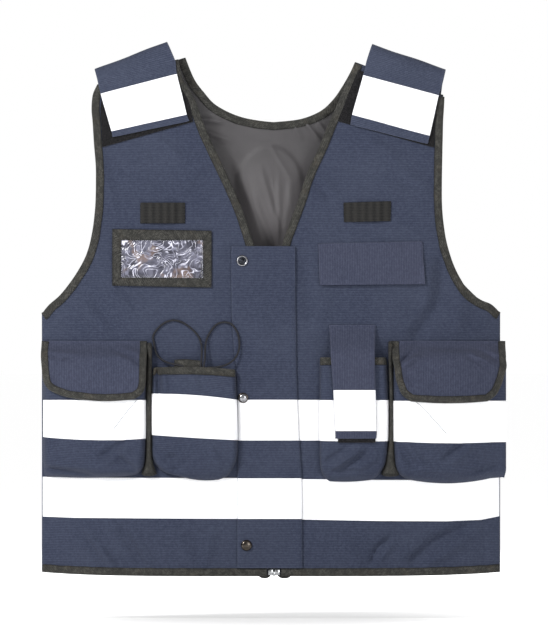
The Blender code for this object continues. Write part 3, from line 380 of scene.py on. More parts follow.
# Folds of the smaller pieces, in the same columns
PLACKET_FOLDS = ((-10, -300, -14, -380, 12, 0.8), (14, -500, 10, -600, 10, 0.9))
CHEST_FLAP_FOLDS = ((90, -250, 130, -276, 12, 0.7),)
BAG_FOLDS = {
    "cargo_bag_right": (
        (-181, -478, -214, -500, 4, -4.6), (-176, -486, -206, -508, 4, 3), (-195, -496, -168, -517, 4.5, -4.4),
        (-186, -492, -162, -508, 3.5, 2.6), (-284, -512, -226, -520, 3, -6), (-284, -505, -220, -512, 4, 2.6),
        (-262, -480, -214, -486, 6, 2.4),
    ),
    "cargo_bag_left": (
        (216, -500, 242, -480, 4, -4), (224, -508, 250, -486, 4, 2.8), (158, -482, 178, -510, 5, -3.6),
        (168, -480, 190, -508, 4.5, 2.6), (185, -514, 235, -518, 4, 2.6), (250, -518, 284, -508, 3, -2.6),
    ),
    "small_bag_right": (
        (-142, -384, -139.5, -424, 3.6, -7), (-134, -388, -131, -420, 3.4, 2.6),
        (-90, -398, -84, -416, 4, -1.8), (-126, -496, -116, -516, 6, -4), (-136, -482, -106, -500, 4, 2.6),
        (-146, -482, -128, -506, 3.5, -2.6), (-75, -484, -62, -512, 5, 2.2),
    ),
    "small_bag_left": (
        (78, -512, 110, -490, 3.6, 3.8), (88, -513, 122, -491, 3.6, -3.6), (68, -504, 96, -486, 3.4, -3),
        (74, -516, 108, -516, 4, -3.4), (108, -514, 134, -498, 4, 2.8), (64, -396, 66, -424, 3, -2),
    ),
}
BAG_FULLNESS = {"cargo_bag": 2.2, "small_bag": 2}
FLAP_FOLDS = {
    "right": (
        (-282, -372, -242, -378, 2.8, -4), (-282, -366, -240, -371, 3.2, 3.4),
        (-198, -364, -172, -373, 2.8, -5), (-172, -373, -160, -386, 2.8, -4.6),
        (-192, -359, -164, -369, 3, 3.8), (-192, -371, -170, -385, 2.6, 3), (-274, -396, -266, -414, 3, -2.2),
        (-180, -413, -168, -401, 2.4, -1.2), (-240, -390, -200, -396, 9, 2),
    ),
    "left": (
        (162, -379, 180, -366, 3, -5.4), (166, -384, 186, -371, 3, 3.6), (158, -372, 174, -361, 3, 3),
        (184, -360, 250, -363, 2.8, -3.4), (196, -366, 250, -369, 3.6, 2.4), (252, -360, 286, -379, 2.6, -4.4),
        (262, -358, 290, -374, 2.4, 3), (246, -366, 280, -386, 2.8, 3.2), (244, -373, 272, -388, 2.6, -2.4),
        (166, -392, 178, -410, 3.4, -2.4), (200, -386, 250, -396, 9, 1.8),
    ),
}
LIGHT_FOLDS = ((80, -395, 125, -400, 12, 0.8), (85, -345, 120, -348, 6, 0.8))

# The studs' turned shapes. Columns: radius, height
SNAP_SHAPES = {
    "top": ((6.9, 0), (7.1, 0.5), (6.9, 1.2), (6.4, 1.7), (5.8, 1.9), (5.2, 1.7), (4.9, 1.2), (4.8, 0.6)),
    "middle": ((5, 0.4), (5.2, 0.9), (5, 1.7), (4.3, 2.4), (3.2, 2.9), (1.9, 3.1), (0.8, 3.2)),
    "bottom": ((6.6, 0), (6.9, 0.5), (6.7, 1.4), (5.8, 2.3), (4.4, 2.9), (2.5, 3.2), (1, 3.3)),
}
SNAP_HOLLOW = ((5.1, 0.1), (4.9, 0.7), (4.2, 0.5), (2.9, 0.5), (2.3, 0.9), (1.8, 1.6), (0.9, 1.9))
SNAP_RIM = ((6.1, 0), (6.4, 0.4), (6.2, 0.8), (5.4, 1), (4.6, 0.9))
SNAP_SIDES = 28

# The placket's seams: the edge that each follows, 0 left or 1 right, and how far to its right it is, and levels
# between which the left edge is sewn down
PLACKET_SEAMS = ((0, 1.8), (1, -1.6), (1, -6.4))
# Along these stretches the black stitches sit on the placket's left edge, partly a seam and partly painted shade
# of that edge
PLACKET_EDGE_SHADE_SEAM = ((-290, -384), (-480, -522), (-579, -634))

# The back's binding, which holds the lining too: its cloth's thickness and how far that lies inside
LINED = CLOTH + LINING + GAP
LINED_DROP = GAP + LINING

# How far the placket's edges lie down, and how wide that is; how far the cargo flaps' lower edges sag and tilt
PLACKET_SINK = 0.9
PLACKET_EDGE = 4.0
FLAP_SAG = {"right": 0.6, "left": 0.8}
FLAP_TILT = {"right": 2.5, "left": 0}

# A slanting line of grey stitches on each cargo pocket's band, painted shade of a crease: shares down and across
# where it starts and ends
TAPE_CREASE_SHADES = {"cargo_bag_right": ((0.02, 0.92), (0.72, 0.69)), "cargo_bag_left": ((0.03, 0.21), (0.75, 0.5))}

# The folded strip that the cords come out of: columns x, level
CORD_TAB = ((-120, -377.5), (-86, -396))
CORD_TAB_HEIGHTS = (10.4, 12)

# Every piece of cloth: its name, the width and length it was cut to, its cut's share of that rectangle, how
# it is held and what it lies on or hangs from
SHEETS = """
back_panel 576 648 0.86 hung shoulder_strap_right
back_lining 575 648 0.86 hung back_panel
front_panel_right 285 645 0.82 hung shoulder_strap_right
front_panel_left 277 642 0.83 hung shoulder_strap_left
placket 81 401 1 hung front_panel_right
shoulder_strap_right 100 178 1 folded shoulder_loop_patch_right
shoulder_strap_left 101 180 1 folded shoulder_loop_patch_left
shoulder_loop_patch_right 99 78 1 laid front_panel_right
shoulder_loop_patch_left 101 75 1 laid front_panel_left
strap_tape_right 51 99 1 laid shoulder_strap_right
strap_tape_left 51 102 1 laid shoulder_strap_left
placket_upper_tape 51 77 1 laid placket
placket_lower_tape 51 81 1 laid placket
front_upper_tape_left 51 121 1 laid front_panel_left
front_lower_tape_right 51 257 1 laid front_panel_right
front_lower_tape_left 51 264 1 laid front_panel_left
back_upper_tape 51 586 1 laid back_panel
back_lower_tape 51 586 1 laid back_panel
cargo_bag_right 155 167 1 gathered front_panel_right
cargo_bag_left 160 179 1 gathered front_panel_left
small_bag_right 124 140 1 gathered front_panel_right
small_bag_left 104 155 1 gathered front_panel_left
cargo_tape_right 51 146 1 laid cargo_bag_right
cargo_tape_left 51 165 1 laid cargo_bag_left
small_tape_right 52 117 1 laid small_bag_right
small_tape_left 51 96 1 laid small_bag_left
cargo_flap_right 132 87 0.96 draped cargo_bag_right
cargo_flap_left 143 90 0.96 draped cargo_bag_left
chest_flap 131 55 1 hung front_panel_left
light_flap 55 149 1 hung front_panel_left
light_flap_tape 51 53 1 laid light_flap
light_flap_patch 47 42 1 laid small_bag_left
mic_tab_right 26 60 1 laid front_panel_right
mic_tab_left 26 60 1 laid front_panel_left
id_window_frame 12 368 1 laid front_panel_right
id_window_film 110 55 1 laid front_panel_right
zip_tape_right 16 366 1 hung front_panel_right
zip_tape_left 17 366 1 hung front_panel_left
back_neck_binding 23 293 1 folded back_panel
v_binding_right 22 297 1 folded front_panel_right
v_binding_left 22 268 1 folded front_panel_left
front_armhole_binding_right 22 316 1 folded front_panel_right
front_armhole_binding_left 22 307 1 folded front_panel_left
back_armhole_binding_right 23 316 1 folded back_panel
back_armhole_binding_left 23 308 1 folded back_panel
front_hem_binding_right 22 287 1 folded front_panel_right
front_hem_binding_left 22 279 1 folded front_panel_left
back_hem_binding 23 577 1 folded back_panel
cargo_flap_binding_right 20 256 1 folded cargo_flap_right
cargo_flap_binding_left 20 268 1 folded cargo_flap_left
small_mouth_binding_right 21 110 1 folded small_bag_right
small_mouth_binding_left 21 85 1 folded small_bag_left
cargo_edge_strip_right 17 168 1 folded front_panel_right
cargo_edge_strip_left 17 170 1 folded front_panel_left
cord_tab 35 21 1 folded small_bag_right
"""

# The picture: millimetres that its height covers and the point at its middle
SENSOR = 36.0
CAMERA_DISTANCE = 20000.0
PICTURE_HEIGHT = 800.0
AIM_X = 3.75
AIM_Z = -327.5

# The studio. Columns: name, place, size, power
WHITE = (1.0, 1.0, 1.0, 1.0)
FLOOR_SIZE = 90.0
FLOOR_LEVEL = -0.7
FLOOR_GLOW = 0.65
FLOOR_COLOUR = 0.9
WORLD_LIGHT = 0.38
LIGHT_AIM = (0.0, 0.0, -0.33)
LIGHTS = (
    ("key", (-3.2, -3.5, 2.7), 1, 240), ("fill", (2.2, -4.6, 0.4), 1.8, 68), ("back", (1.5, 4.6, 1.8), 2, 150),
)

# The soft shadow under the vest: half its width and depth in metres, how near its middle it is darkest, and
# how dark it leaves the floor
SHADOW_SPREAD = (0.46, 1.1)
SHADOW_CORE = 0.8
SHADOW_COLOUR = 0.58
SHADOW_GLOW = 0.37

# How finely the cloth is made
EDGE_STEPS = 8
LOWER_STEPS = 18
PANEL_COLUMNS = 84
LINING_COLUMNS = 56
LINING_FINE_ROWS = 72
LINING_SPLIT = 3
LINING_CROWD = 1.5
BAG_STEPS = 12
BAG_COLUMNS = 60
WALL_STEPS = 6
FLAP_COLUMNS = 80
RIM_STEP = 3.0
RIM_BULGE = 0.3
SHARP_ANGLE = 55
SEWN_GRID = 50
UV_LAYER = "cloth"

# How far seams lie above cloth and above bindings and tape, and tape above curved cloth
SEAM_LIFT = 0.1
FINE_LIFT = 0.05
TAPE_GAP = 0.25

# A stitch: how far on either side its direction is taken, and the share of its radius that is sunk
STITCH_REACH = 0.6
STITCH_SUNK = 0.8

# The value of the edge attribute where no edge matters, and the way out of the front
FAR_FROM_EDGE = 9.0
FORWARD = (0.0, -1.0, 0.0)


# Numbers and curves


def ease(share):
    share = np.clip(share, 0.0, 1.0)
    return share * share * (3.0 - 2.0 * share)


def between(low, high, share):
    return low + (high - low) * share


def even(count):
    return np.linspace(0.0, 1.0, count + 1)


def smooth(rows, steps):
    """A table's rows with steps - 1 more between each two, on a curve through them all."""
    rows = np.array(rows, float)
    last = len(rows) - 1
    at = np.arange(last)
    a, b, c, d = (rows[np.clip(at + k, 0, last)][:, None] for k in (-1, 0, 1, 2))
    t = (np.arange(steps) / steps)[None, :, None]
    curve = 2 * b + (c - a) * t + (2 * a - 5 * b + 4 * c - d) * t**2 + (3 * b - a - 3 * c + d) * t**3
    return np.vstack((0.5 * curve.reshape(-1, rows.shape[1]), rows[-1:]))


def straight(rows, steps):
    """The same on straight lines."""
    rows = np.array(rows, float)
    t = (np.arange(steps) / steps)[None, :, None]
    line = rows[:-1, None] + (rows[1:] - rows[:-1])[:, None] * t
    return np.vstack((line.reshape(-1, rows.shape[1]), rows[-1:]))


def edges_at(rows, z):
    """The left and right edges at a level, from rows of level, left_x, right_x that run down."""
    return [np.interp(-z, -rows[:, 0], rows[:, column]) for column in (1, 2)]


def run_length(points):
    """How far along a line each of its points lies."""
    steps = np.linalg.norm(np.diff(points, axis=0), axis=1)
    return np.concatenate(((0.0,), np.cumsum(steps)))


def stepped(points, step):
    """The same line with points about a step apart."""
    points = np.asarray(points, float)
    along = run_length(points)
    places = np.linspace(0.0, along[-1], max(2, int(round(along[-1] / step)) + 1))
    return np.stack([np.interp(places, along, points[:, k]) for k in range(points.shape[1])], -1)


def waver(along, seed, length):
    """Soft noise along a line, from -1 to 1, whose waves are about this long."""
    draw = np.random.default_rng(seed)
    total = 0.0 * along
    for _ in range(4):
        total = total + np.sin(math.tau * along / length * draw.uniform(0.6, 1.7) + draw.uniform(0, math.tau))
    return total / 4


def unit(ways):
    return ways / np.maximum(np.linalg.norm(ways, axis=-1, keepdims=True), 1e-9)


# The hanging form


def folds(x, z, table):
    """Soft ridges along lines. Columns: x, level, to x, to level, half width, height."""
    total = 0.0 * (x + z)
    for x0, z0, x1, z1, width, height in table:
        run_x, run_z = x1 - x0, z1 - z0
        length = math.hypot(run_x, run_z)
        along = ((x - x0) * run_x + (z - z0) * run_z) / length**2
        off = ((x - x0) * run_z - (z - z0) * run_x) / length
        ends = ease((along + 0.2) / 0.4) * ease((1.2 - along) / 0.4)
        total = total + height * np.exp(-((off / width) ** 2)) * ends
    return total


def uneven(x, z, side):
    """The slight unevenness of hanging cloth."""
    low = np.sin(x / 31 + z / 57 + side) * np.sin(z / 43 - x / 71)
    return 0.55 * low + 0.3 * np.sin(x / 13 - z / 27 + 2 * side) * np.sin(z / 19 + x / 37)


def half_width(z):
    gape = ease((z - UNDERARM_LEVEL + GAPE_HEIGHT) / GAPE_HEIGHT)
    gape = gape + ease((VENT_LEVEL - z) / GAPE_HEIGHT)
    return HALF_WIDTH + SIDE_GAPE * gape


def skin(x, z, side):
    """Distance of the cloth's inner face from the middle plane, in front (-1) or behind (1)."""
    full = FRONT_DEPTH if side < 0 else BACK_DEPTH
    depth = between(SHOULDER_DEPTH, full, ease(z / CHEST_LEVEL))
    across = np.minimum(1.0, abs(x) / half_width(z))
    wave = WAVE_HEIGHT * ease((WAVE_START - z) / (WAVE_START - HEM_LEVEL)) * (1.0 - across**2)
    ripple = wave * np.sin(math.tau * (x + side * WAVE_LENGTH / 5) / WAVE_LENGTH)
    soft = folds(x, z, FRONT_FOLDS if side < 0 else BACK_FOLDS) + uneven(x, z, side)
    return SEAM_GAP / 2 + depth * (1.0 - across**FORM_POWER) + ripple + soft * (1.0 - across**8)


def place(x, z, side, height):
    x, z, height = np.broadcast_arrays(x, z, height)
    return np.stack((x, side * (skin(x, z, side) + height), z), -1)


def hem(x):
    return HEM_LEVEL + HEM_RISE * (abs(x) / HALF_WIDTH) ** 5


# Meshes


def across_grid(grid):
    """How far along its row each point of a grid lies."""
    steps = np.linalg.norm(np.diff(grid, axis=1), axis=2)
    return np.hstack((np.zeros((len(grid), 1)), np.cumsum(steps, 1)))


def edge_distance(grid):
    """How far each point of a grid lies from the grid's nearest border."""
    across, down = across_grid(grid), across_grid(grid.swapaxes(0, 1)).T
    return np.min((across, across[:, -1:] - across, down, down[-1:] - down), 0)


def arc_uv(grid):
    """A grid's own lengths, across and down."""
    across = across_grid(grid)
    middle = grid.shape[1] // 2
    down = run_length(grid[:, middle])[:, None] + 0 * across
    return np.stack((across - across[:, middle : middle + 1], -down), -1)


def added(name, data):
    """A new object in the scene."""
    made = bpy.data.objects.new(name, data)
    bpy.context.scene.collection.objects.link(made)
    return made


def build(name, points, faces, finish, nodes=(), uv=None, edge=FAR_FROM_EDGE):
    """One piece from its points in millimetres, faces of one size, and a uv for each face corner."""
    points = np.asarray(points, float)
    size = faces.shape[1]
    uv = points[faces][..., (0, 2)] if uv is None else uv
    a, b, c = points[faces[:, 0]], points[faces[:, 1]], points[faces[:, 2]]
    volume = (a * np.cross(b, c)).sum()
    if size == 4:
        volume += (a * np.cross(c, points[faces[:, 3]])).sum()
    if volume < 0:
        faces, uv = faces[:, ::-1], uv[:, ::-1]
    mesh = bpy.data.meshes.new(name)
    mesh.vertices.add(len(points))
    mesh.vertices.foreach_set("co", (points * MM).ravel())
    mesh.loops.add(faces.size)
    mesh.loops.foreach_set("vertex_index", np.ascontiguousarray(faces, dtype=np.int32).ravel())
    mesh.polygons.add(len(faces))
    mesh.polygons.foreach_set("loop_start", np.arange(0, faces.size, size, dtype=np.int32))
    mesh.update(calc_edges=True)
    layer = mesh.uv_layers.new(name=UV_LAYER)
    layer.uv.foreach_set("vector", np.ascontiguousarray(uv, dtype=np.float32).ravel())
    kept = mesh.attributes.new("edge", "FLOAT", "POINT")
    kept.data.foreach_set("value", np.full(len(points), edge, np.float32))
    mesh.shade_smooth()
    mesh.set_sharp_from_angle(angle=math.radians(SHARP_ANGLE))
    made = added(name, mesh)
    mesh.materials.append(finish)
    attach(made, "root")
    if nodes:
        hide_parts(*nodes)
    return made


def slab(node, patches, finish, replaced=True):
    """The cloth between near and far grids. Each patch is near, far and uv, and shared points are sewn."""
    near = np.vstack([p[0].reshape(-1, 3) for p in patches])
    far = np.vstack([p[1].reshape(-1, 3) for p in patches])
    uvs = np.vstack([p[2].reshape(-1, 2) for p in patches])
    edge = np.concatenate([edge_distance(p[1]).ravel() for p in patches])
    quads, offset = [], 0
    for low, _, _ in patches:
        rows, columns = low.shape[:2]
        ids = np.arange(rows * columns).reshape(rows, columns) + offset
        quads.append(np.stack((ids[:-1, :-1], ids[:-1, 1:], ids[1:, 1:], ids[1:, :-1]), -1).reshape(-1, 4))
        offset += rows * columns
    quads = np.vstack(quads)
    keys = np.round(np.hstack((near, far)) * SEWN_GRID).astype(np.int64)
    _, first, where = np.unique(keys, axis=0, return_index=True, return_inverse=True)
    where = where.ravel()
    near, far, edge = near[first], far[first], edge[first]
    ids = where[quads]
    pairs = np.stack((ids, np.roll(ids, -1, 1)), -1).reshape(-1, 2)
    uv_pairs = np.stack((quads, np.roll(quads, -1, 1)), -1).reshape(-1, 2)
    _, index, uses = np.unique(np.sort(pairs, 1), axis=0, return_index=True, return_counts=True)
    rim, rim_uv = pairs[index[uses == 1]], uv_pairs[index[uses == 1]]
    middle = (near + far) / 2
    centres = middle[ids].mean(1)
    sums, count = np.zeros_like(middle), np.zeros(len(middle))
    for k in range(4):
        np.add.at(sums, ids[:, k], centres)
        np.add.at(count, ids[:, k], 1)
    border = np.unique(rim)
    out = unit(middle[border] - sums[border] / count[border][:, None])
    thick = np.linalg.norm(far[border] - near[border], axis=1, keepdims=True)
    rounded = middle[border] + out * thick * RIM_BULGE
    total = len(near)
    mid_id = np.zeros(total, int)
    mid_id[border] = np.arange(len(border)) + 2 * total
    a, b = rim.T
    ua, ub = rim_uv.T
    walls = np.stack((b, a, mid_id[a], mid_id[b]), -1), np.stack((mid_id[b], mid_id[a], a + total, b + total), -1)
    faces = np.vstack((ids, ids[:, ::-1] + total, *walls))
    corner_uv = np.vstack((uvs[quads], uvs[quads[:, ::-1]], *[uvs[np.stack((ub, ua, ua, ub), -1)]] * 2))
    points = np.vstack((near, far, rounded))
    edge = np.concatenate((edge, edge, np.zeros(len(border))))
    return build(node + "_visual", points, faces, finish, (node,) if replaced else (), corner_uv, edge)


def turned(uv):
    """The uv of cloth that is cut a quarter turn round."""
    return uv[..., ::-1]


def layer(node, x, z, side, low, high, finish, lift=0.0, uv=None, replaced=True):
    """Cloth over a grid of places, between two heights above the form and its own lift."""
    near, far = place(x, z, side, low + lift), place(x, z, side, high + lift)
    uv = np.stack((x, z), -1) if uv is None else uv
    return slab(node, [(near, far, uv)], finish, replaced)


def spread(rows, shares):
    """A grid from rows of left_x, left_z, right_x, right_z."""
    rows = np.asarray(rows, float)
    shares = np.asarray(shares)[None, :]
    return between(rows[:, 0:1], rows[:, 2:3], shares), between(rows[:, 1:2], rows[:, 3:4], shares)


def normals(grid):
    """Unit normals of a grid of points, turned forward."""
    down, across = np.gradient(grid, axis=0), np.gradient(grid, axis=1)
    ways = unit(np.cross(down, across))
    return ways * np.sign((ways * FORWARD).sum(-1).mean())


def stitches(name, lines, finish, pitch=3.4, length=2.4, radius=0.24):
    """A row of stitches along each line. A line is points and the way out of the cloth."""
    centres, runs, outs = [], [], []
    for points, way in lines:
        points = np.asarray(points, float)
        along = run_length(points)
        count = int(along[-1] / pitch)
        if count < 1:
            continue
        places = (np.arange(count) + 0.5) * along[-1] / count
        behind, centre, ahead = (
            np.stack([np.interp(places + reach, along, points[:, k]) for k in range(3)], -1)
            for reach in (-STITCH_REACH, 0.0, STITCH_REACH)
        )
        centres.append(centre)
        runs.append(unit(ahead - behind))
        outs.append(np.broadcast_to(np.asarray(way, float), centre.shape))
    centre, run, out = (np.vstack(rows) for rows in (centres, runs, outs))
    side = unit(np.cross(run, out))
    out = unit(np.cross(side, run))
    turn = np.sign((out * np.vstack(outs)).sum(-1, keepdims=True))
    out = out * turn
    half, sunk = run * length / 2, out * radius * STITCH_SUNK
    shape = (centre + half - sunk, centre - half - sunk, centre + side * radius, centre - side * radius)
    points = np.stack((*shape, centre + out * radius, centre - out * radius), 1).reshape(-1, 3)
    one = np.array(((0, 2, 4), (2, 1, 4), (1, 3, 4), (3, 0, 4), (2, 0, 5), (1, 2, 5), (3, 1, 5), (0, 3, 5)))
    faces = (one[None] + 6 * np.arange(len(centre))[:, None, None]).reshape(-1, 3)
    return build(name, points, faces, finish, edge=0.0)


def on_form(x, z, side, height):
    """A line on the form with the way out of it, for stitches."""
    return place(x, z, side, height), (0.0, float(side), 0.0)


def turns_of(sides):
    return np.arange(sides) * math.tau / sides


def tube(count, sides):
    """The faces along a tube of rings with an even number of sides, and those that close its ends."""
    ids = np.arange(count * sides).reshape(count, sides)
    after = np.roll(ids, -1, 1)
    quads = np.stack((ids[:-1], after[:-1], after[1:], ids[1:]), -1).reshape(-1, 4)
    end = np.array([(k, k + 1, sides - 2 - k, sides - 1 - k) for k in range(sides // 2 - 1)])
    return quads, np.vstack((end[:, ::-1], end + (count - 1) * sides))


def seams(x, z, height, rows=(), columns=()):
    """Lines for stitches along some rows and columns of a piece on the front."""
    height = height + 0 * x
    lines = [on_form(x[k], z[k], -1, height[k]) for k in rows]
    return lines + [on_form(x[:, k], z[:, k], -1, height[:, k]) for k in columns]


# Edges and bindings


def inward(points, inside):
    """A unit direction at each point of an edge, square to it and turned to the point inside."""
    run = unit(np.gradient(points, axis=0))
    ways = np.stack((run[:, 1], -run[:, 0]), -1)
    aim = ((np.asarray(inside) - points) * ways).sum(-1)
    return ways * np.sign(aim.sum())


def inset(points, inside, distance):
    return points + inward(points, inside) * distance


def profile(thick, width):
    """A folded binding's inner and outer faces, as rows of distance in and height."""
    half = thick / 2 + GAP + BINDING_WALL
    lap, wall = 0.9, BINDING_WALL
    outer = [(width, half - 0.25), (width * 0.75, half + 0.02), (width * 0.5, half + 0.1), (width * 0.25, half)]
    inner = [(d, h - wall * 0.75) for d, h in outer]
    for angle in np.radians((70, 35, 0, -35, -70)):
        outer.append((lap - (lap + BINDING_OUT) * math.cos(angle), half * math.sin(angle)))
        inner.append((lap - (lap + BINDING_OUT - wall) * math.cos(angle), (half - wall) * math.sin(angle)))
    for share in (0.3, 0.65, 1.0):
        outer.append((width * share, -half))
        inner.append((width * share, -half + wall * 0.75))
    return np.array(inner), np.array(outer)


def channel(node, line, inside, side, thick, seed, base=0.0, lift=None, width=BINDING_WIDTH):
    """A binding folded over an edge, with its stitches."""
    line = stepped(line, RIM_STEP)
    ways = inward(line, inside)
    along = run_length(line)[:, None]
    lift = lift or (lambda x, z: 0.0)
    grids = []
    for face in profile(thick, width):
        d = face[None, :, 0] * (1.0 + BINDING_WAVER * waver(along, seed, BINDING_WAVE))
        h = face[None, :, 1] + BINDING_PUFF * waver(along + face[None, :, 0] * 2.5, seed + 1, 13.0)
        x, z = line[:, 0:1] + ways[:, 0:1] * d, line[:, 1:2] + ways[:, 1:2] * d
        grids.append(place(x, z, side, base + thick / 2 + h + lift(x, z)))
    across = run_length(profile(thick, width)[1])[None, :] + 0 * along
    uv = np.stack((along + 0 * across, across), -1)
    slab(node, [(*grids, uv)], BINDING)
    d = (width - BINDING_SEAM) * (1.0 + BINDING_WAVER * waver(along[:, 0], seed, BINDING_WAVE))
    x, z = line[:, 0] + ways[:, 0] * d, line[:, 1] + ways[:, 1] * d
    seam = on_form(x, z, side, base + thick + GAP + BINDING_WALL + FINE_LIFT + lift(x, z))
    stitches(node + "_stitches", [seam], THREAD)


# Rows that more than one piece follows
PLACKET_ROWS = smooth(PLACKET, 6)
FLAP_ROWS = {name: smooth(rows, 6) for name, rows in FLAPS.items()}


# Finishes


def linear(colour):
    """An sRGB colour as Blender's own."""
    levels = [c / 255 for c in colour]
    return (*(c / 12.92 if c < 0.04 else ((c + 0.055) / 1.055) ** 2.4 for c in levels), 1.0)


class Finish:
    """A material and the nodes that make it. u and v are millimetres along and across the cloth."""

    def __init__(self, name, roughness, metallic=0.0, specular=0.25, sheen=0.0):
        self.made = bpy.data.materials.new(name)
        self.made.use_nodes = True
        self.tree = self.made.node_tree
        self.shader = self.tree.nodes["Principled BSDF"].inputs
        self.shader["Roughness"].default_value = roughness
        self.shader["Metallic"].default_value = metallic
        self.shader["Specular IOR Level"].default_value = specular
        self.shader["Sheen Weight"].default_value = sheen
        flat_map = self.node("UVMap", uv_map=UV_LAYER).outputs[0]
        self.u, self.v, _ = self.node("SeparateXYZ", flat_map).outputs
        self.where = self.node("TexCoord").outputs["Object"]

    def node(self, kind, *values, **settings):
        """A new node with its settings, and its inputs from the first one on."""
        made = self.tree.nodes.new("ShaderNode" + kind)
        for name, value in settings.items():
            setattr(made, name, value)
        for socket, value in zip(made.inputs, values):
            self.put(socket, value)
        return made

    def put(self, socket, value):
        if isinstance(value, bpy.types.NodeSocket):
            self.tree.links.new(value, socket)
        else:
            socket.default_value = value

    def math(self, operation, *values):
        return self.node("Math", *values, operation=operation).outputs[0]

    def noise(self, size, detail=2.0, distortion=0.0):
        """Noise from 0 to 1 whose patches are about this many millimetres wide."""
        made = self.node("TexNoise", self.where)
        made.inputs["Scale"].default_value = 1.0 / (size * MM)
        made.inputs["Detail"].default_value = detail
        made.inputs["Distortion"].default_value = distortion
        return made.outputs[0]

    def wave(self, value, period, wobble=0.0):
        """Ridges from 0 to 1 along a value in millimetres."""
        turn = self.math("MULTIPLY_ADD", value, math.tau / period, wobble)
        return self.math("MULTIPLY_ADD", self.math("SINE", turn), 0.5, 0.5)

    def span(self, value, *ends):
        """A smooth rise from 0 to 1 while the value goes from one end to the other, or between two results."""
        return self.node("MapRange", value, *ends, interpolation_type="SMOOTHSTEP").outputs[0]

    def tint(self, base, share, colour, amount=1.0):
        """A colour laid over the base, as far as share and amount say."""
        made = self.node("Mix", data_type="RGBA")
        self.put(made.inputs[0], share if amount == 1.0 else self.math("MULTIPLY", share, amount))
        self.put(made.inputs[6], linear(base) if isinstance(base, tuple) else base)
        self.put(made.inputs[7], linear(colour))
        return made.outputs[2]

    def edge(self):
        """Millimetres from the piece's nearest edge."""
        return self.node("Attribute", attribute_name="edge").outputs["Fac"]

    def relief(self, height, depth, strength=1.0):
        """Bump of this many millimetres."""
        made = self.node("Bump", strength, depth * MM)
        self.put(made.inputs["Height"], height)
        self.put(self.shader["Normal"], made.outputs[0])

    def colour(self, value):
        self.put(self.shader["Base Color"], value)
        return self.made


def ribbed_cloth(name, deep, pale, ridge):
    """Plain weave with fine raised ribs, mottled and a little uneven, and worn lighter at its edges."""
    cloth = Finish(name, 0.86, specular=0.1, sheen=0.04)
    wobble = cloth.math("MULTIPLY", cloth.noise(21.0), 3.0)
    rib = cloth.wave(cloth.v, 2.1, wobble)
    yarn = cloth.wave(cloth.u, 1.15, wobble)
    fibre = cloth.noise(0.9, 3.0)
    mottle = cloth.noise(3.4, 3.0)
    broad = cloth.span(cloth.noise(80.0, 3.0), 0.3, 0.7)
    shown = cloth.math("MULTIPLY_ADD", cloth.span(mottle, 0.3, 0.7), 0.25, 0.22)
    base = cloth.tint(deep, broad, pale)
    base = cloth.tint(base, rib, ridge, shown)
    base = cloth.tint(base, cloth.span(mottle, 0.4, 0.75), ridge, 0.1)
    base = cloth.tint(base, cloth.span(fibre, 0.42, 0.75), ridge, 0.3)
    base = cloth.tint(base, cloth.span(cloth.edge(), 2.2, 0.2), ridge, 0.14)
    height = cloth.math("MULTIPLY_ADD", yarn, 0.3, rib)
    cloth.relief(cloth.math("MULTIPLY_ADD", fibre, 0.45, height), 0.28, 0.7)
    return cloth.colour(base)


def twill(name, dark, brown, ridge):
    """Narrow twill tape, rubbed brownish in places, with painted shade along its edges."""
    tape = Finish(name, 0.8, specular=0.15, sheen=0.04)
    slant = tape.math("ADD", tape.u, tape.v)
    twist = tape.wave(slant, 3.0, tape.math("MULTIPLY", tape.noise(6.0), 3.0))
    fibre = tape.noise(2.2, 4.0)
    rubbed_and_painted_light = tape.span(tape.noise(16.0, 4.0), 0.5, 0.74)
    shadow = tape.span(tape.noise(7.0, 3.0), 0.4, 0.6)
    base = tape.tint(dark, rubbed_and_painted_light, brown)
    base = tape.tint(base, twist, ridge, 0.38)
    base = tape.tint(base, tape.span(fibre, 0.42, 0.68), ridge, 0.6)
    base = tape.tint(base, shadow, (34, 34, 33), 0.5)
    # Painted shade: darker within about a millimetre of its edges, partly its edge seam and partly the shade where
    # it meets the cloth
    base = tape.tint(base, tape.span(tape.edge(), 1.3, 0.2), (24, 24, 24), 0.55)
    tape.relief(tape.math("MULTIPLY_ADD", fibre, 0.6, twist), 0.35, 0.9)
    return tape.colour(base)


def lining_cloth(name, dark, pale, rubbed_and_painted_light):
    """Thin smooth lining with a soft shine, made paler low down by painted light."""
    cloth = Finish(name, 0.45, specular=0.4, sheen=0.08)
    grid = cloth.math("MULTIPLY", cloth.wave(cloth.u, 0.8), cloth.wave(cloth.v, 0.8))
    broad = cloth.span(cloth.noise(45.0, 3.0), 0.3, 0.7)
    # Painted light: the lining grows paler from level -80 to -230, against the shade deep behind the front
    base = cloth.tint(cloth.tint(dark, broad, pale), cloth.span(cloth.v, -80.0, -230.0), rubbed_and_painted_light)
    cloth.relief(cloth.math("MULTIPLY_ADD", cloth.noise(3.5, 3.0), 0.8, grid), 0.2, 0.6)
    return cloth.colour(base)


def reflective(name):
    """White tape of fine glass beads, with painted shade that greys it along its edges."""
    tape = Finish(name, 0.38, specular=0.5)
    bead = tape.noise(0.5, 2.0)
    broad = tape.span(tape.noise(40.0, 3.0), 0.3, 0.75)
    base = tape.tint((250, 250, 251), broad, (244, 245, 248))
    # Painted shade: grey within about a millimetre of its edges, where the tape's thickness turns away from the
    # light
    base = tape.tint(base, tape.span(tape.edge(), 1.3, 0.1), (206, 208, 216), 0.35)
    weave = tape.math("ADD", tape.wave(tape.u, 1.0), tape.wave(tape.v, 1.0))
    tape.relief(tape.math("MULTIPLY_ADD", bead, 0.8, weave), 0.08, 0.5)
    return tape.colour(base)


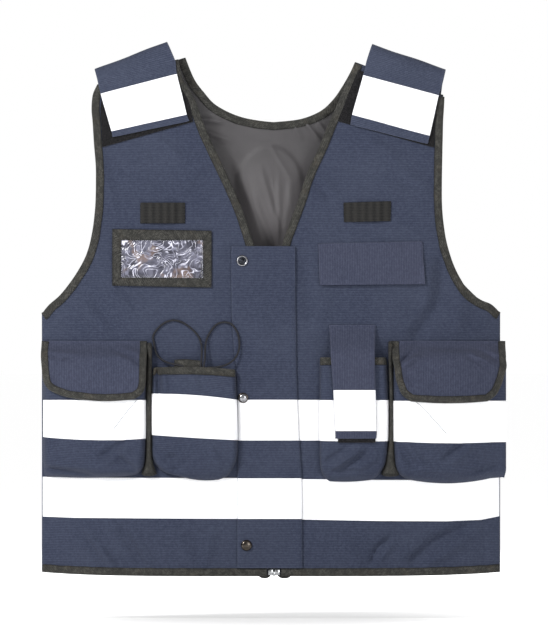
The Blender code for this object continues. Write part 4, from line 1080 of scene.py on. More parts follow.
def loop_pile(name):
    """The soft side of a hook and loop fastener."""
    pile = Finish(name, 0.95, specular=0.08, sheen=0.12)
    tuft = pile.noise(1.3, 4.0, distortion=1.0)
    pile.relief(tuft, 0.8, 1.0)
    return pile.colour(pile.tint((14, 14, 15), pile.span(tuft, 0.35, 0.7), (38, 37, 39)))


def webbing(name):
    """Ribbed webbing, ribs across and soft bands along it."""
    web = Finish(name, 0.78, specular=0.2, sheen=0.05)
    rib = web.wave(web.v, 1.9, web.math("MULTIPLY", web.noise(12.0), 1.5))
    band = web.wave(web.u, 9.5, 1.0)
    fibre = web.noise(0.8, 3.0)
    base = web.tint((17, 17, 18), band, (38, 37, 36), 0.8)
    base = web.tint(base, rib, (56, 55, 53), 0.4)
    web.relief(web.math("MULTIPLY_ADD", fibre, 0.5, rib), 0.45, 0.9)
    return web.colour(base)


def film(name):
    """Crinkled clear film over dark cloth, whitened along its creases partly by its own crazing and partly by
    painted highlights and reflections.
    """
    clear = Finish(name, 0.22, specular=0.5)
    crease = clear.noise(25.0, 1.2, distortion=1.9)
    swirl = clear.wave(crease, 0.15)
    haze_and_painted_reflection = clear.span(clear.noise(20.0, 3.0, distortion=1.0), 0.36, 0.64)
    warm = clear.span(clear.noise(26.0, 2.0), 0.58, 0.66)
    lit = clear.span(clear.noise(11.0, 2.0), 0.4, 0.6)
    # Painted reflection and highlight: greyer patches, pale lines along the creases and white highlights on their
    # crests, partly the film's own whitening
    base = clear.tint((50, 50, 60), haze_and_painted_reflection, (98, 98, 112))
    base = clear.tint(base, warm, (118, 100, 92), 0.7)
    base = clear.tint(base, clear.span(swirl, 0.5, 0.98), (150, 150, 170), 0.4)
    base = clear.tint(base, clear.math("MULTIPLY", clear.span(swirl, 0.9, 1.0), lit), (226, 226, 240), 0.9)
    clear.relief(swirl, 0.5, 0.4)
    return clear.colour(base)


def metal(name, colour, roughness):
    """Plated metal, finely scratched."""
    plate = Finish(name, roughness, metallic=1.0, specular=0.5)
    scratch = plate.noise(1.2, 4.0, distortion=0.5)
    shade = tuple(c * 0.8 for c in colour)
    plate.relief(scratch, 0.05, 0.5)
    return plate.colour(plate.tint(shade, plate.span(scratch, 0.35, 0.7), colour))


def braid(name):
    """Thin braided cord."""
    cord = Finish(name, 0.55, specular=0.25)
    left = cord.wave(cord.math("ADD", cord.u, cord.v), 1.9)
    right = cord.wave(cord.math("SUBTRACT", cord.u, cord.v), 1.9)
    plait = cord.math("MAXIMUM", left, right)
    cord.relief(plait, 0.25, 0.9)
    return cord.colour(cord.tint((12, 12, 14), plait, (38, 38, 43)))


def thread(name, colour):
    """Twisted sewing thread."""
    spun = Finish(name, 0.7, specular=0.3, sheen=0.05)
    twist = spun.wave(spun.math("ADD", spun.u, spun.v), 0.5)
    pale = tuple(min(255, c * 1.35) for c in colour)
    spun.relief(twist, 0.05, 0.6)
    return spun.colour(spun.tint(colour, twist, pale))


NAVY = ribbed_cloth("navy_ribbed", (39, 44, 61), (46, 51, 67), (76, 82, 99))
NAVY_FLAP = ribbed_cloth("navy_flap", (44, 48, 64), (50, 53, 69), (80, 84, 102))
NAVY_STRAP = ribbed_cloth("navy_strap", (44, 49, 65), (51, 56, 72), (81, 87, 104))
BINDING = twill("binding_twill", (40, 40, 38), (57, 52, 45), (80, 79, 75))
LINING_CLOTH = lining_cloth("lining_nylon", (58, 56, 58), (67, 65, 67), (82, 79, 81))
REFLECTIVE = reflective("reflective_beads")
LOOP_PILE = loop_pile("loop_pile")
WEBBING_CLOTH = webbing("tab_webbing")
CLEAR_FILM = film("crinkled_film")
SNAP_METAL = metal("snap_gunmetal", (84, 78, 72), 0.22)
SNAP_BRIGHT = metal("snap_nickel", (166, 166, 170), 0.25)
ZIP_METAL = metal("zip_nickel", (196, 198, 200), 0.25)
# Painted shade: the dark metal in the top stud's hollow stands for the shade inside the recess
SNAP_HOLLOW_SHADE = metal("snap_hollow", (58, 60, 66), 0.35)
BRAID = braid("cord_braid")
THREAD = thread("thread_black", (26, 25, 25))
THREAD_NAVY = thread("thread_navy", (40, 45, 68))
THREAD_WHITE = thread("thread_white", (196, 198, 204))
THREAD_GREY = thread("thread_grey", (96, 98, 106))


# Body


def lowered_rows(start, centre_x):
    """The rows of a centre or side edge below the underarm."""
    points = [start] + [(centre_x, z) for z in LOWER_LEVELS]
    return straight(points, LOWER_STEPS)[1:]


def panel_edges(table, last, lean, centre):
    """A panel's neck and armhole edges inside the bindings, row by row down to the last lower level."""
    rows = np.array(table, float)
    inside = (lean * INSIDE_X, INSIDE_LEVEL)
    neck = np.vstack((smooth(rows[: last + 1, :2], EDGE_STEPS)[:-1], straight(rows[last:, :2], EDGE_STEPS)))
    cut = last * EDGE_STEPS
    neck[: cut + 1] = inset(neck[: cut + 1], inside, BINDING_OUT)
    arm = inset(smooth(rows[:, 2:], EDGE_STEPS), inside, BINDING_OUT)
    arm[-1, 0] = lean * HALF_WIDTH
    bound = neck[: cut + 1].copy()
    armhole = arm.copy()
    neck = np.vstack((neck, lowered_rows(neck[-1], centre)))
    arm = np.vstack((arm, lowered_rows(arm[-1], lean * HALF_WIDTH)))
    return neck, arm, bound, armhole


def panel_places(neck, arm, columns, crowd=1.0):
    """A panel's grid of places, from the neck or centre edge to the armhole or side, down to the hem."""
    shares = even(columns)[None, :] ** crowd
    x = between(neck[:, 0:1], arm[:, 0:1], shares)
    z = between(neck[:, 1:2], arm[:, 1:2], shares)
    low = even(4)[1:, None]
    foot_x, foot_z = np.repeat(x[-1:], 4, 0), between(z[-1:], hem(x[-1:]) + BINDING_OUT, low)
    return np.vstack((x, foot_x)), np.vstack((z, foot_z))


def make_fronts():
    for name, lean in LEAN.items():
        last = LAST_NECK_ROW["front_" + name]
        inside = (lean * INSIDE_X, INSIDE_LEVEL)
        neck, arm, bound, armhole = panel_edges(FRONT_EDGES[name], last, lean, FRONT_CENTRE[name])
        x, z = panel_places(neck, arm, PANEL_COLUMNS)
        layer("front_panel_" + name, x, z, -1, 0.0, CLOTH, NAVY)
        channel("v_binding_" + name, bound, inside, -1, CLOTH, 11)
        channel("front_armhole_binding_" + name, armhole, inside, -1, CLOTH, 12)
        bottom = np.stack((x[-1], z[-1]), -1)
        channel("front_hem_binding_" + name, bottom, inside, -1, CLOTH, 13)


def split_rows(edge):
    """An edge with more points in its upper rows, where the lining shows in the neck."""
    rows = np.arange(len(edge))
    fine = np.arange(0, LINING_FINE_ROWS * LINING_SPLIT) / LINING_SPLIT
    places = np.concatenate((fine, rows[LINING_FINE_ROWS:]))
    return np.stack([np.interp(places, rows, edge[:, k]) for k in (0, 1)], -1)


def lining_fold(x, z):
    """How far the loose lining stands off the back towards the wearer."""
    from_edge = ease((FOLD_TOP - z) / FOLD_FADE) * ease((FOLD_REACH - abs(x)) / FOLD_FADE)
    from_hem = ease((z - FOLD_FOOT) / FOOT_FADE)
    ridge = 0.5 + 0.5 * np.cos(math.tau * (x - LINING_FOLD_LEAN * z) / LINING_FOLD_LENGTH)
    return LINING_FOLD * from_edge * from_hem * ridge


def lining_dome(x, z):
    """A soft bulge whose rounded top shows in the neck."""
    middle, level, wide, tall, edge, height = LINING_DOME
    away = np.hypot((x - middle) / wide, np.maximum(0.0, z - level) / tall)
    dome = height * ease((1.0 - away) / edge) * ease((z - level + 90.0) / 60.0)
    depth, top, foot, reach = LINING_BELLY
    from_top, from_foot, from_side = BELLY_FADE
    belly = depth * ease((top - z) / from_top) * ease((z - foot) / from_foot) * ease((reach - abs(x)) / from_side)
    return dome + belly


def make_back():
    halves, bound = {}, {}
    last = LAST_NECK_ROW["back"]
    for name, lean in LEAN.items():
        neck, arm, bound[name], armhole = panel_edges(BACK_EDGES[name], last, lean, BACK_CENTRE)
        seam = last * EDGE_STEPS
        neck[seam:, 0] = BACK_CENTRE
        neck[seam, 1] = bound[name][-1, 1] = BACK_EDGES[name][last][1] - BINDING_OUT
        bound[name][-1, 0] = BACK_CENTRE
        fine = [split_rows(edge) for edge in (neck, arm)]
        halves[name] = panel_places(neck, arm, PANEL_COLUMNS), panel_places(*fine, LINING_COLUMNS, LINING_CROWD)
        inside = (lean * INSIDE_X, INSIDE_LEVEL)
        channel("back_armhole_binding_" + name, armhole, inside, 1, LINED, 14, base=-LINED_DROP)
    panels, linings = [], []
    for (x, z), (p, q) in halves.values():
        panels.append((place(x, z, 1, 0.0), place(x, z, 1, CLOTH), np.stack((x, z), -1)))
        soft = np.maximum(0.0, lining_fold(p, q) + folds(p, q, LINING_FOLDS) + lining_dome(p, q))
        faces = [place(p, q, 1, -depth - soft * (depth > 0)) for depth in (GAP + LINING, GAP)]
        linings.append((*faces, np.stack((p, q), -1)))
    slab("back_panel", panels, NAVY)
    slab("back_lining", linings, LINING_CLOTH)
    neck_line = np.vstack((bound["right"], bound["left"][-2::-1]))
    channel("back_neck_binding", neck_line, (BACK_CENTRE, -FAR), 1, LINED, 15, base=-LINED_DROP)
    (x_right, z_right), (x_left, z_left) = halves["right"][0], halves["left"][0]
    right, left = np.stack((x_right[-1], z_right[-1]), -1), np.stack((x_left[-1], z_left[-1]), -1)
    hem_line = np.vstack((right[::-1], left[1:]))
    channel("back_hem_binding", hem_line, (BACK_CENTRE, FAR), 1, LINED, 16, base=-LINED_DROP)


# Shoulders


def over(front, back, top, angle):
    """A row of the strap's fold, on half an ellipse from the front over the top to the back."""
    middle = (front + back) / 2
    crown = np.stack((top[:, 0], middle[:, 1], top[:, 1]), -1)
    return middle + (front - middle) * math.cos(angle) + (crown - middle) * math.sin(angle)


def make_shoulders():
    shares = even(26)
    for name, lean in LEAN.items():
        rows = smooth(STRAP_FRONT[name], 8)
        front = place(*spread(rows, shares), -1, STRAP_LOW)
        landing = place(*spread(straight(STRAP_BACK[name], 10), shares), 1, STRAP_LOW)
        top_x, top_z = spread([STRAP_TOP[name]], shares)
        top = np.stack((top_x[0], top_z[0]), -1)
        turns = np.radians(np.arange(12, 180, 12))
        arch = np.stack([over(front[-1], landing[0], top, angle) for angle in turns])
        grid = np.vstack((front, arch, landing))
        share_down = np.linspace(0, 1, len(grid))[:, None]
        soft = 0.45 * np.sin(shares * 9 + share_down * 17) * np.sin(share_down * 23 + lean)
        ways = normals(grid)
        front_half = len(front) + len(arch) // 2
        turn = np.sign((ways[: len(front)] * FORWARD).sum(-1).mean())
        ways = ways * turn
        grid = grid + ways * soft[..., None] * (share_down[..., None] > 0.08)
        slab("shoulder_strap_" + name, [(grid, grid + ways * CLOTH, arc_uv(grid))], NAVY_STRAP)
        band = slice(STRAP_TAPE_ROWS.start * 8, (STRAP_TAPE_ROWS.stop - 1) * 8 + 1)
        low, high = (grid[band] + ways[band] * (CLOTH + h) for h in (TAPE_GAP, TAPE_GAP + TAPE))
        slab("strap_tape_" + name, [(low, high, arc_uv(low))], REFLECTIVE)
        x, z = spread(smooth(LOOP_PATCH[name], 8), even(30))
        pile = 0.35 * waver(x * 1.3 + z * 2.1, 5, 7.0)
        layer("shoulder_loop_patch_" + name, x, z, -1, ON_CLOTH, ON_CLOTH + LOOP_THICK, LOOP_PILE, pile)
        face = grid + ways * (CLOTH + SEAM_LIFT)
        sides = [(face[:front_half, k], FORWARD) for k in (1, -2)]
        ends = [(face[k], FORWARD) for k in (1, band.start - 1, band.stop + 1)]
        stitches(f"shoulder_strap_{name}_stitches", sides + ends, THREAD_NAVY)
        box = face[-10:-1]
        back = [(line, (0, 1, 0)) for line in (box[0], box[-1], box[:, 2], box[:, -3])]
        stitches(f"shoulder_strap_{name}_back_stitches", back, THREAD_NAVY)


# Front closing


def placket_places(levels, shares):
    left, right = edges_at(PLACKET_ROWS, levels)
    x = between(left[:, None], right[:, None], shares[None, :])
    return x, levels[:, None] + 0 * x


def placket_soft(x, z):
    """The placket's folds, and its edges that lie down on the fronts."""
    left, right = edges_at(PLACKET_ROWS, z)
    inside = np.minimum(x - left, right - x)
    sink = PLACKET_SINK * (1.0 - ease(inside / PLACKET_EDGE)) * ease((-275.0 - z) / 20.0)
    return folds(x, z, PLACKET_FOLDS) - sink


def make_placket():
    shares = even(30)
    levels = np.concatenate((np.arange(PLACKET[0][0], PLACKET[-1][0], -3.0), (PLACKET[-1][0],)))
    x, z = placket_places(levels, shares)
    soft = placket_soft(x, z)
    layer("placket", x, z, -1, ON_TRIM, PLACKET_TOP, NAVY, soft)
    for name, (top, bottom) in PLACKET_BANDS.items():
        x, z = placket_places(np.linspace(top, bottom, 17), shares)
        soft = placket_soft(x, z)
        layer(f"placket_{name}_tape", x, z, -1, ON_PLACKET, ON_PLACKET + TAPE, REFLECTIVE, soft)
    lines = []
    for edge, offset in PLACKET_SEAMS:
        x = edges_at(PLACKET_ROWS, levels)[edge] + offset
        lines.append(on_form(x, levels, -1, PLACKET_TOP + SEAM_LIFT + placket_soft(x, levels)))
    ends = np.linspace(0.03, 0.97, 30)
    for level, drop in ((PLACKET[0][0], -2.0), (PLACKET[-1][0], 2.0)):
        x, z = placket_places(np.array([level + drop]), ends)
        lines += seams(x, z, PLACKET_TOP + SEAM_LIFT, (0,))
    stitches("placket_stitches", lines, THREAD_NAVY)
    # Black stitches on the placket's left edge, partly a seam and partly painted shade of that edge
    lines = []
    for top, bottom in PLACKET_EDGE_SHADE_SEAM:
        levels = np.linspace(top, bottom, 30)
        left = edges_at(PLACKET_ROWS, levels)[0] + 0.2
        lines.append(on_form(left, levels, -1, PLACKET_TOP - 0.3 + placket_soft(left, levels)))
    stitches("placket_edge_seam", lines, THREAD, 2.0, 2.0, 0.45)
    for name, (x, z, height) in SNAPS.items():
        make_snap(name, x, z, height)


def turned_piece(node, base, frame_ways, rows, finish, replaced=True):
    """A round piece from radii and heights, on a point with its two directions across and the way out."""
    across, up, out = frame_ways
    turn = turns_of(SNAP_SIDES)
    ray = across * np.cos(turn)[:, None] + up * np.sin(turn)[:, None]
    rows = np.array(rows)
    points = base + ray[None] * rows[:, 0, None, None] + out * rows[:, 1, None, None]
    quads = np.vstack(tube(len(rows), SNAP_SIDES))
    return build(node + "_visual", points.reshape(-1, 3), quads, finish, (node,) if replaced else ())


def make_snap(name, x, z, height):
    """A press stud's cap: a rim round a hollow, or a dome."""
    base = place(x, z, -1, height)
    across = unit(place(x + 1.0, z, -1, height) - base)
    up = unit(place(x, z + 1.0, -1, height) - base)
    out = unit(np.cross(across, up))
    out = out * np.sign(-out[1])
    ways = (across, up, out)
    finish = SNAP_BRIGHT if name != "bottom" else SNAP_METAL
    turned_piece("snap_" + name, base, ways, SNAP_SHAPES[name], finish)
    if name == "middle":
        turned_piece("snap_middle_rim", base, ways, SNAP_RIM, SNAP_METAL, False)
    if name == "top":
        # The hollow's dark metal is painted shade
        turned_piece("snap_top_hollow", base + out * 0.3, ways, SNAP_HOLLOW, SNAP_HOLLOW_SHADE, False)


def make_zip():
    levels = np.linspace(ZIP_TOP, ZIP_END + ZIP_FOOT, 150)
    for name, (left, right) in ZIP_TAPES.items():
        shares = even(6)
        x = between(left, right, shares)[None, :] + 0 * levels[:, None]
        z = levels[:, None] + 0 * x
        foot = ease((ZIP_END + 9.0 - z) / 6.0) * ZIP_FOOT * (2 * np.abs(shares - 0.5)[None, :]) ** 3
        z = z + foot - ZIP_FOOT * (z < ZIP_END + ZIP_FOOT + 0.5)
        layer("zip_tape_" + name, x, z, -1, ZIP_LOW, ZIP_LOW + TRIM, BINDING)
    end, left, right = ZIP_CHAIN
    middle, half = (left + right) / 2, (right - left) / 2
    points, faces = [], []
    for k, level in enumerate(np.arange(ZIP_TOP, end + 1.5, -TOOTH_PITCH)):
        sides = (middle - half, middle + half * 0.35) if k % 2 else (middle - half * 0.35, middle + half)
        block(points, faces, *sides, level - TOOTH_HEIGHT, level, 0.0, CHAIN_THICK - 0.3, 0.3)
    for row in ZIP_SLIDER:
        block(points, faces, *row)
    build("zip_chain_visual", np.vstack(points), np.vstack(faces), ZIP_METAL, ("zip_chain",))


def block(points, faces, left, right, low, high, back, face, r):
    """A small block over the zip's tapes with its outer corners taken off."""
    start = 12 * len(faces)
    x = np.array((left, right, right, left, left, right, right, left, left + r, right - r, right - r, left + r))
    z = np.array((low, low, high, high, low, low, high, high, low + r, low + r, high - r, high - r))
    h = np.array((back,) * 4 + (face - r,) * 4 + (face,) * 4)
    points.append(place(x, z, -1, ZIP_LOW + TRIM + GAP + h))
    quads = [(0, 3, 2, 1), (8, 9, 10, 11)]
    for k in range(4):
        after = (k + 1) % 4
        quads += [(k, after, after + 4, k + 4), (k + 4, after + 4, after + 8, k + 8)]
    faces.append(np.array(quads) + start)


def make_bands():
    for node, rows in BANDS.items():
        side = 1 if node.startswith("back") else -1
        rows = np.array(rows)
        count = int((rows[-1, 0] - rows[0, 0]) / 4)
        x = np.linspace(rows[0, 0], rows[-1, 0], count)[None, :] + np.zeros((15, 1))
        top, bottom = (np.interp(x[0], rows[:, 0], rows[:, k]) for k in (1, 2))
        z = between(top[None, :], bottom[None, :], even(14)[:, None])
        layer(node, x, z, side, ON_CLOTH, ON_CLOTH + TAPE, REFLECTIVE)
        lines = [on_form(x[0], row, side, ON_CLOTH + TAPE + FINE_LIFT) for row in (z[0] - 1.4, z[-1] + 1.4)]
        stitches(node + "_stitches", lines, THREAD_WHITE)


# Chest


def make_tabs():
    for name, rows in MIC_TABS.items():
        rows = np.array(rows)
        x, z = spread(straight(rows, 12), even(TAB_COLUMNS))
        share = (x - x[:, :1]) / (x[:, -1:] - x[:, :1])
        bow = TAB_BOW * ease((share - TAB_END) / TAB_RISE) * ease((1 - TAB_END - share) / TAB_RISE)
        bow = bow + 0.35 * np.sin(share * math.tau * 5.5 + 0.6) * (bow > 0.2)
        layer("mic_tab_" + name, x, z, -1, ON_CLOTH, ON_CLOTH + WEBBING, WEBBING_CLOTH, bow)
        height = ON_CLOTH + WEBBING + bow
        lines = seams(x[1:-1], z[1:-1], height[1:-1], (), TAB_SEAMS)
        for row in (1, -2):
            for part in (slice(1, 8), slice(-8, -1)):
                lines += seams(x[:, part], z[:, part], height[:, part], (row,))
        stitches(f"mic_tab_{name}_stitches", lines, THREAD, 2.6, 1.9)


def corners_of(outline):
    a, b, c, d, e, f, g, h = outline
    return np.array(((a, b), (c, d), (g, h), (e, f), (a, b)), float)


def make_id_window():
    outer, inner = corners_of(ID_OUTER), corners_of(ID_WINDOW)
    patches, lines = [], []
    for k, count in enumerate((42, 24, 42, 24)):
        along = even(count)[:, None, None]
        start = between(outer[k], inner[k], even(8)[:, None])[None]
        end = between(outer[k + 1], inner[k + 1], even(8)[:, None])[None]
        grid = between(start, end, along)
        crown = 0.3 * np.sin(math.pi * even(8))[None, :] + 0.12 * waver(grid[..., 0] + grid[..., 1], 21 + k, 9.0)
        x, z = grid[..., 0], grid[..., 1]
        near, far = place(x, z, -1, ON_TRIM), place(x, z, -1, ON_TRIM + TRIM + crown)
        patches.append((near, far, turned(arc_uv(near))))
        for share in (0.14, 0.84):
            first, last = (between(outer[n], inner[n], share) for n in (k, k + 1))
            line = between(first, last, even(30)[:, None])
            lines.append(on_form(line[:, 0], line[:, 1], -1, ON_TRIM + TRIM + 0.22))
    slab("id_window_frame", patches, BINDING)
    stitches("id_window_frame_stitches", lines, THREAD)
    lines = []
    for k in range(4):
        line = between(inner[k], inner[k + 1], even(30)[:, None])
        line = line + 0.8 * unit(inner[:4].mean(0) - line)
        lines.append(on_form(line[:, 0], line[:, 1], -1, ON_CLOTH + 1.3))
    stitches("id_window_film_stitches", lines, THREAD_WHITE, 2.4, 1.2)
    left, top, right, _, _, bottom = ID_WINDOW[:6]
    x, z = np.meshgrid(
        np.linspace(left - FILM_LAP, right + FILM_LAP, 92), np.linspace(top + FILM_LAP, bottom - FILM_LAP, 46)
    )
    crumple = crinkles(x, z)
    for inside in (x - left, right - x, top - z, z - bottom):
        crumple = crumple * ease(inside / 4)
    layer("id_window_film", x, z, -1, ON_CLOTH, ON_CLOTH + 0.5, CLEAR_FILM, crumple * 1.2)


def crinkles(x, z):
    """Sharp random creases of stiff film, from 0 to 1."""
    draw = np.random.default_rng(47)
    total = 0.0 * x
    for _ in range(11):
        angle, length = draw.uniform(0, math.pi), draw.uniform(9, 26)
        along = (x * math.cos(angle) + z * math.sin(angle)) / length * math.tau
        bend = 1.1 * np.sin((x * math.sin(angle) - z * math.cos(angle)) / draw.uniform(8, 20) + draw.uniform(0, 6))
        total = total + draw.uniform(0.5, 1.0) * (1 - np.abs(np.sin(along / 2 + bend + draw.uniform(0, 6))))
    return total / 5.0


def make_chest_flap():
    rows = smooth(CHEST_FLAP, 12)
    x, z = spread(rows, even(40))
    share = even(24)[:, None]
    rise = CHEST_FLAP_RISE * ease(share * 1.1) + 0.35 * np.sin(x / 17 + 2) * share
    rise = rise + folds(x, z, CHEST_FLAP_FOLDS)
    uv = turned(np.stack((x, z), -1))
    layer("chest_flap", x, z, -1, ON_CLOTH, ON_CLOTH + CLOTH, NAVY_FLAP, rise, uv)
    height = ON_CLOTH + CLOTH + SEAM_LIFT + rise
    lines = seams(x, z - 1.0, height, (1,)) + seams(x, z, height, (), (1, -2)) + seams(x, z - 1.0, height, (-2,))
    stitches("chest_flap_stitches", lines, THREAD_NAVY)


# Pockets


def bag_faces(node):
    """The outer face of a pocket bag, with its fullness and folds."""
    kind = node.rsplit("_", 1)[0]
    rows = smooth(BAGS[node], BAG_STEPS)
    left_x, left_z, right_x, right_z, swell, sag = (rows[:, k : k + 1] for k in range(6))
    span = right_x - left_x
    wall = BAG_WALL[kind]
    angles = np.radians(np.linspace(0, 90, WALL_STEPS + 1))[None, :]
    bulge = SIDE_BULGE if node == "cargo_bag_left" else 0.0
    rise = wall * (1.0 - np.cos(angles)) / span
    middle = between(wall / span, 1.0 - wall / span, even(BAG_COLUMNS)[None, :])
    share = np.hstack((rise[:, :-1], middle, 1.0 - rise[:, -2::-1]))
    lifted = np.concatenate((np.sin(angles[0, :-1]), np.ones(BAG_COLUMNS + 1), np.sin(angles[0, -2::-1])))
    out = np.concatenate((np.zeros(WALL_STEPS + BAG_COLUMNS + 1), bulge * np.sin(2 * angles[0, -2::-1])))
    x = left_x + span * share + out[None, :]
    z = between(left_z, right_z, share) - sag * 4 * share * (1 - share)
    down = np.linspace(0, 1, len(rows))[:, None]
    full = BAG_FULLNESS[kind] * np.sin(math.pi * share) ** 0.8 * ease(down * 1.7) * ease((1.05 - down) * 3.2)
    soft = folds(x, z, BAG_FOLDS[node]) * lifted[None, :]
    height = BAG_DEPTH[kind] * np.clip(swell, 0, 1.03) * lifted[None, :] + full + soft
    return place(x, z, -1, BAG_BASE + height)


def make_bag(node):
    kind, name = node.rsplit("_", 1)
    grid = bag_faces(node)
    ways = normals(grid)
    inner = grid - ways * CLOTH
    floor = -(skin(inner[..., 0], inner[..., 2], -1) + BAG_BASE)
    inner[..., 1] = np.minimum(inner[..., 1], floor)
    slab(node, [(inner, grid, arc_uv(grid))], NAVY)
    rows = slice(BAG_TAPE_ROWS.start * BAG_STEPS, (BAG_TAPE_ROWS.stop - 1) * BAG_STEPS + 1)
    part = WALL_STEPS // 3
    band, band_ways = grid[rows, part:-part], ways[rows, part:-part]
    faces = band + band_ways * 0.2, band + band_ways * (0.2 + TAPE)
    slab(kind.replace("bag", "tape") + "_" + name, [(*faces, arc_uv(band))], REFLECTIVE)
    lines = [(band[k] + band_ways[k] * (TAPE + 0.3), FORWARD) for k in (1, -2)]
    stitches(node + "_stitches", lines, THREAD_WHITE)
    if node in TAPE_CREASE_SHADES:
        make_tape_crease_shade(node, band + band_ways * (TAPE + 0.9))
    if kind == "small_bag":
        make_mouth(name, grid, ways)


def make_tape_crease_shade(node, face):
    """A fine slanting row of grey stitches over a cargo pocket's band, painted shade of a crease, from a share of
    it to another.
    """
    (from_row, from_column), (to_row, to_column) = TAPE_CREASE_SHADES[node]
    rows, columns = face.shape[0] - 1, face.shape[1] - 1
    line = []
    for share in even(24):
        row, column = between(from_row, to_row, share) * rows, between(from_column, to_column, share) * columns
        i, j = min(int(row), rows - 1), min(int(column), columns - 1)
        near = between(face[i, j], face[i, j + 1], column - j)
        far = between(face[i + 1, j], face[i + 1, j + 1], column - j)
        line.append(between(near, far, row - i))
    stitches(node + "_seam", [(line, FORWARD)], THREAD_GREY, 1.2, 1.8, 0.4)


def make_mouth(name, grid, ways):
    """The binding over the mouth of a small bag."""
    edge, below, way = grid[0, 3:-3], grid[2, 3:-3], ways[0, 3:-3]
    down = unit(below - edge)
    along = run_length(edge)
    faces = []
    for face in profile(CLOTH, BINDING_WIDTH):
        d = face[None, :, 0] * (1 + 0.03 * waver(along, 31, 21.0)[:, None])
        h = face[None, :, 1] - CLOTH / 2 + 0.12 * waver(along[:, None] + face[None, :, 0], 33, 11.0)
        faces.append(edge[:, None] + down[:, None] * d[..., None] + way[:, None] * h[..., None])
    across = run_length(profile(CLOTH, BINDING_WIDTH)[1])[None, :] + 0 * along[:, None]
    uv = np.stack((along[:, None] + 0 * across, across), -1)
    slab("small_mouth_binding_" + name, [(*faces, uv)], BINDING)
    line = edge + down * (BINDING_WIDTH - 1.6) + way * (GAP + BINDING_WALL + 0.15)
    stitches(f"small_mouth_binding_{name}_stitches", [(line, FORWARD)], THREAD)


def flap_lift(name):
    """How far a cargo flap stands off the form."""
    rows = FLAP_ROWS[name]
    full = BAG_BASE + BAG_DEPTH["cargo_bag"] + FLAP_CLEAR - FLAP_BASE

    def lift(x, z):
        left, right = edges_at(rows, z)
        edge = np.maximum(0.0, np.minimum(x - left, right - x)) / DROOP_WIDTH
        past = SIDE_SLOPE * np.maximum(0.0, abs(x) - HALF_WIDTH)
        rise = ease((rows[0][0] - z) / FLAP_BEND)
        soft = folds(x, z, FLAP_FOLDS[name])
        return FLAP_BASE - past + (full - FLAP_DROOP * (1.0 - np.minimum(1.0, edge))) * rise + soft * rise

    return lift


def make_flaps():
    for name in LEAN:
        lift = flap_lift(name)
        rows = FLAP_ROWS[name]
        shares = even(FLAP_COLUMNS)[None, :]
        x = between(rows[:, 1:2] + BINDING_OUT, rows[:, 2:3] - BINDING_OUT, shares)
        z = rows[:, 0:1] - FLAP_SAG[name] * rows[:, 3:4] * 4 * shares * (1 - shares)
        z = z + FLAP_TILT[name] * (0.5 - shares) * ease((-395.0 - rows[:, 0:1]) / 25.0)
        high = lift(x, z)
        uv = turned(np.stack((x, z), -1))
        layer("cargo_flap_" + name, x, z, -1, 0.0, FLAP_CLOTH, NAVY_FLAP, high, uv)
        sides = np.stack((x, z), -1)
        rim = np.vstack((sides[:, 0], sides[-1, 1:-1], sides[::-1, -1]))
        centre = (x[len(x) // 2, FLAP_COLUMNS // 2], z[len(z) // 2, FLAP_COLUMNS // 2])
        node = "cargo_flap_binding_" + name
        channel(node, rim, centre, -1, FLAP_CLOTH, 17, lift=lift, width=FLAP_BINDING_WIDTH)
        seam = seams(x, z, FLAP_CLOTH + high + SEAM_LIFT, (2,))
        stitches(f"cargo_flap_{name}_stitches", seam, THREAD_NAVY)


def make_edge_strips():
    for name, rows in EDGE_STRIPS.items():
        rows = straight([(left, z, right, z) for z, left, right in rows], 10)
        x, z = spread(rows, even(8))
        crown = 1.0 - (2 * even(8) - 1) ** 4
        high = STRIP_HEIGHT * (0.35 + 0.65 * crown)[None, :] + 0.2 * waver(z, 41, 11.0)
        near, far = place(x, z, -1, BAG_BASE), place(x, z, -1, BAG_BASE + high)
        slab("cargo_edge_strip_" + name, [(near, far, turned(arc_uv(near)))], BINDING)
        line = seams(x, z, BAG_BASE + STRIP_HEIGHT + SEAM_LIFT, (), (4,))
        stitches(f"cargo_edge_strip_{name}_stitches", line, THREAD)


def light_lift(x, z):
    return LIGHT_FLAP_OUT * ease((LIGHT_FLAP[0][0] - z) / LIGHT_FLAP_BEND) + folds(x, z, LIGHT_FOLDS)


def make_light_flap():
    def places(rows, steps, columns):
        return spread(smooth([(left, z, right, z) for z, left, right in rows], steps), even(columns))

    x, z = places(LIGHT_FLAP, 8, 18)
    uv = turned(np.stack((x, z), -1))
    high = light_lift(x, z)
    layer("light_flap", x, z, -1, ON_CLOTH, ON_CLOTH + CLOTH, NAVY_FLAP, high, uv)
    height = ON_CLOTH + CLOTH + high + SEAM_LIFT
    lines = seams(x, z, height, (), (1, -2)) + seams(x, z, height, (2,))
    stitches("light_flap_stitches", lines, THREAD_NAVY)
    x, z = places(LIGHT_FLAP_BAND, 7, 18)
    low = ON_CLOTH + CLOTH + TAPE_GAP
    layer("light_flap_tape", x, z, -1, low, low + TAPE, REFLECTIVE, light_lift(x, z))
    x, z = places(LIGHT_FLAP_PATCH, 12, 18)
    layer("light_flap_patch", x, z, -1, PATCH_LOW, PATCH_LOW + PATCH_THICK, LOOP_PILE)


# Cords


def make_cord_tab():
    """The folded strip inside the small pocket's mouth that the cords come out of."""
    (left, top), (right, bottom) = CORD_TAB
    x, z = np.meshgrid(np.linspace(left, right, 24), np.linspace(top, bottom, 14))
    z = z + 0.8 * np.sin((x - left) / 7.0) * (z > top - 8.0)
    wave = 0.4 * np.sin((x - left) / 4.0)
    low, high = CORD_TAB_HEIGHTS
    layer("cord_tab", x, z, -1, low, high, BINDING, wave, replaced=False)
    stitches("cord_tab_stitches", seams(x, z, high + wave + FINE_LIFT, (3,)), THREAD)


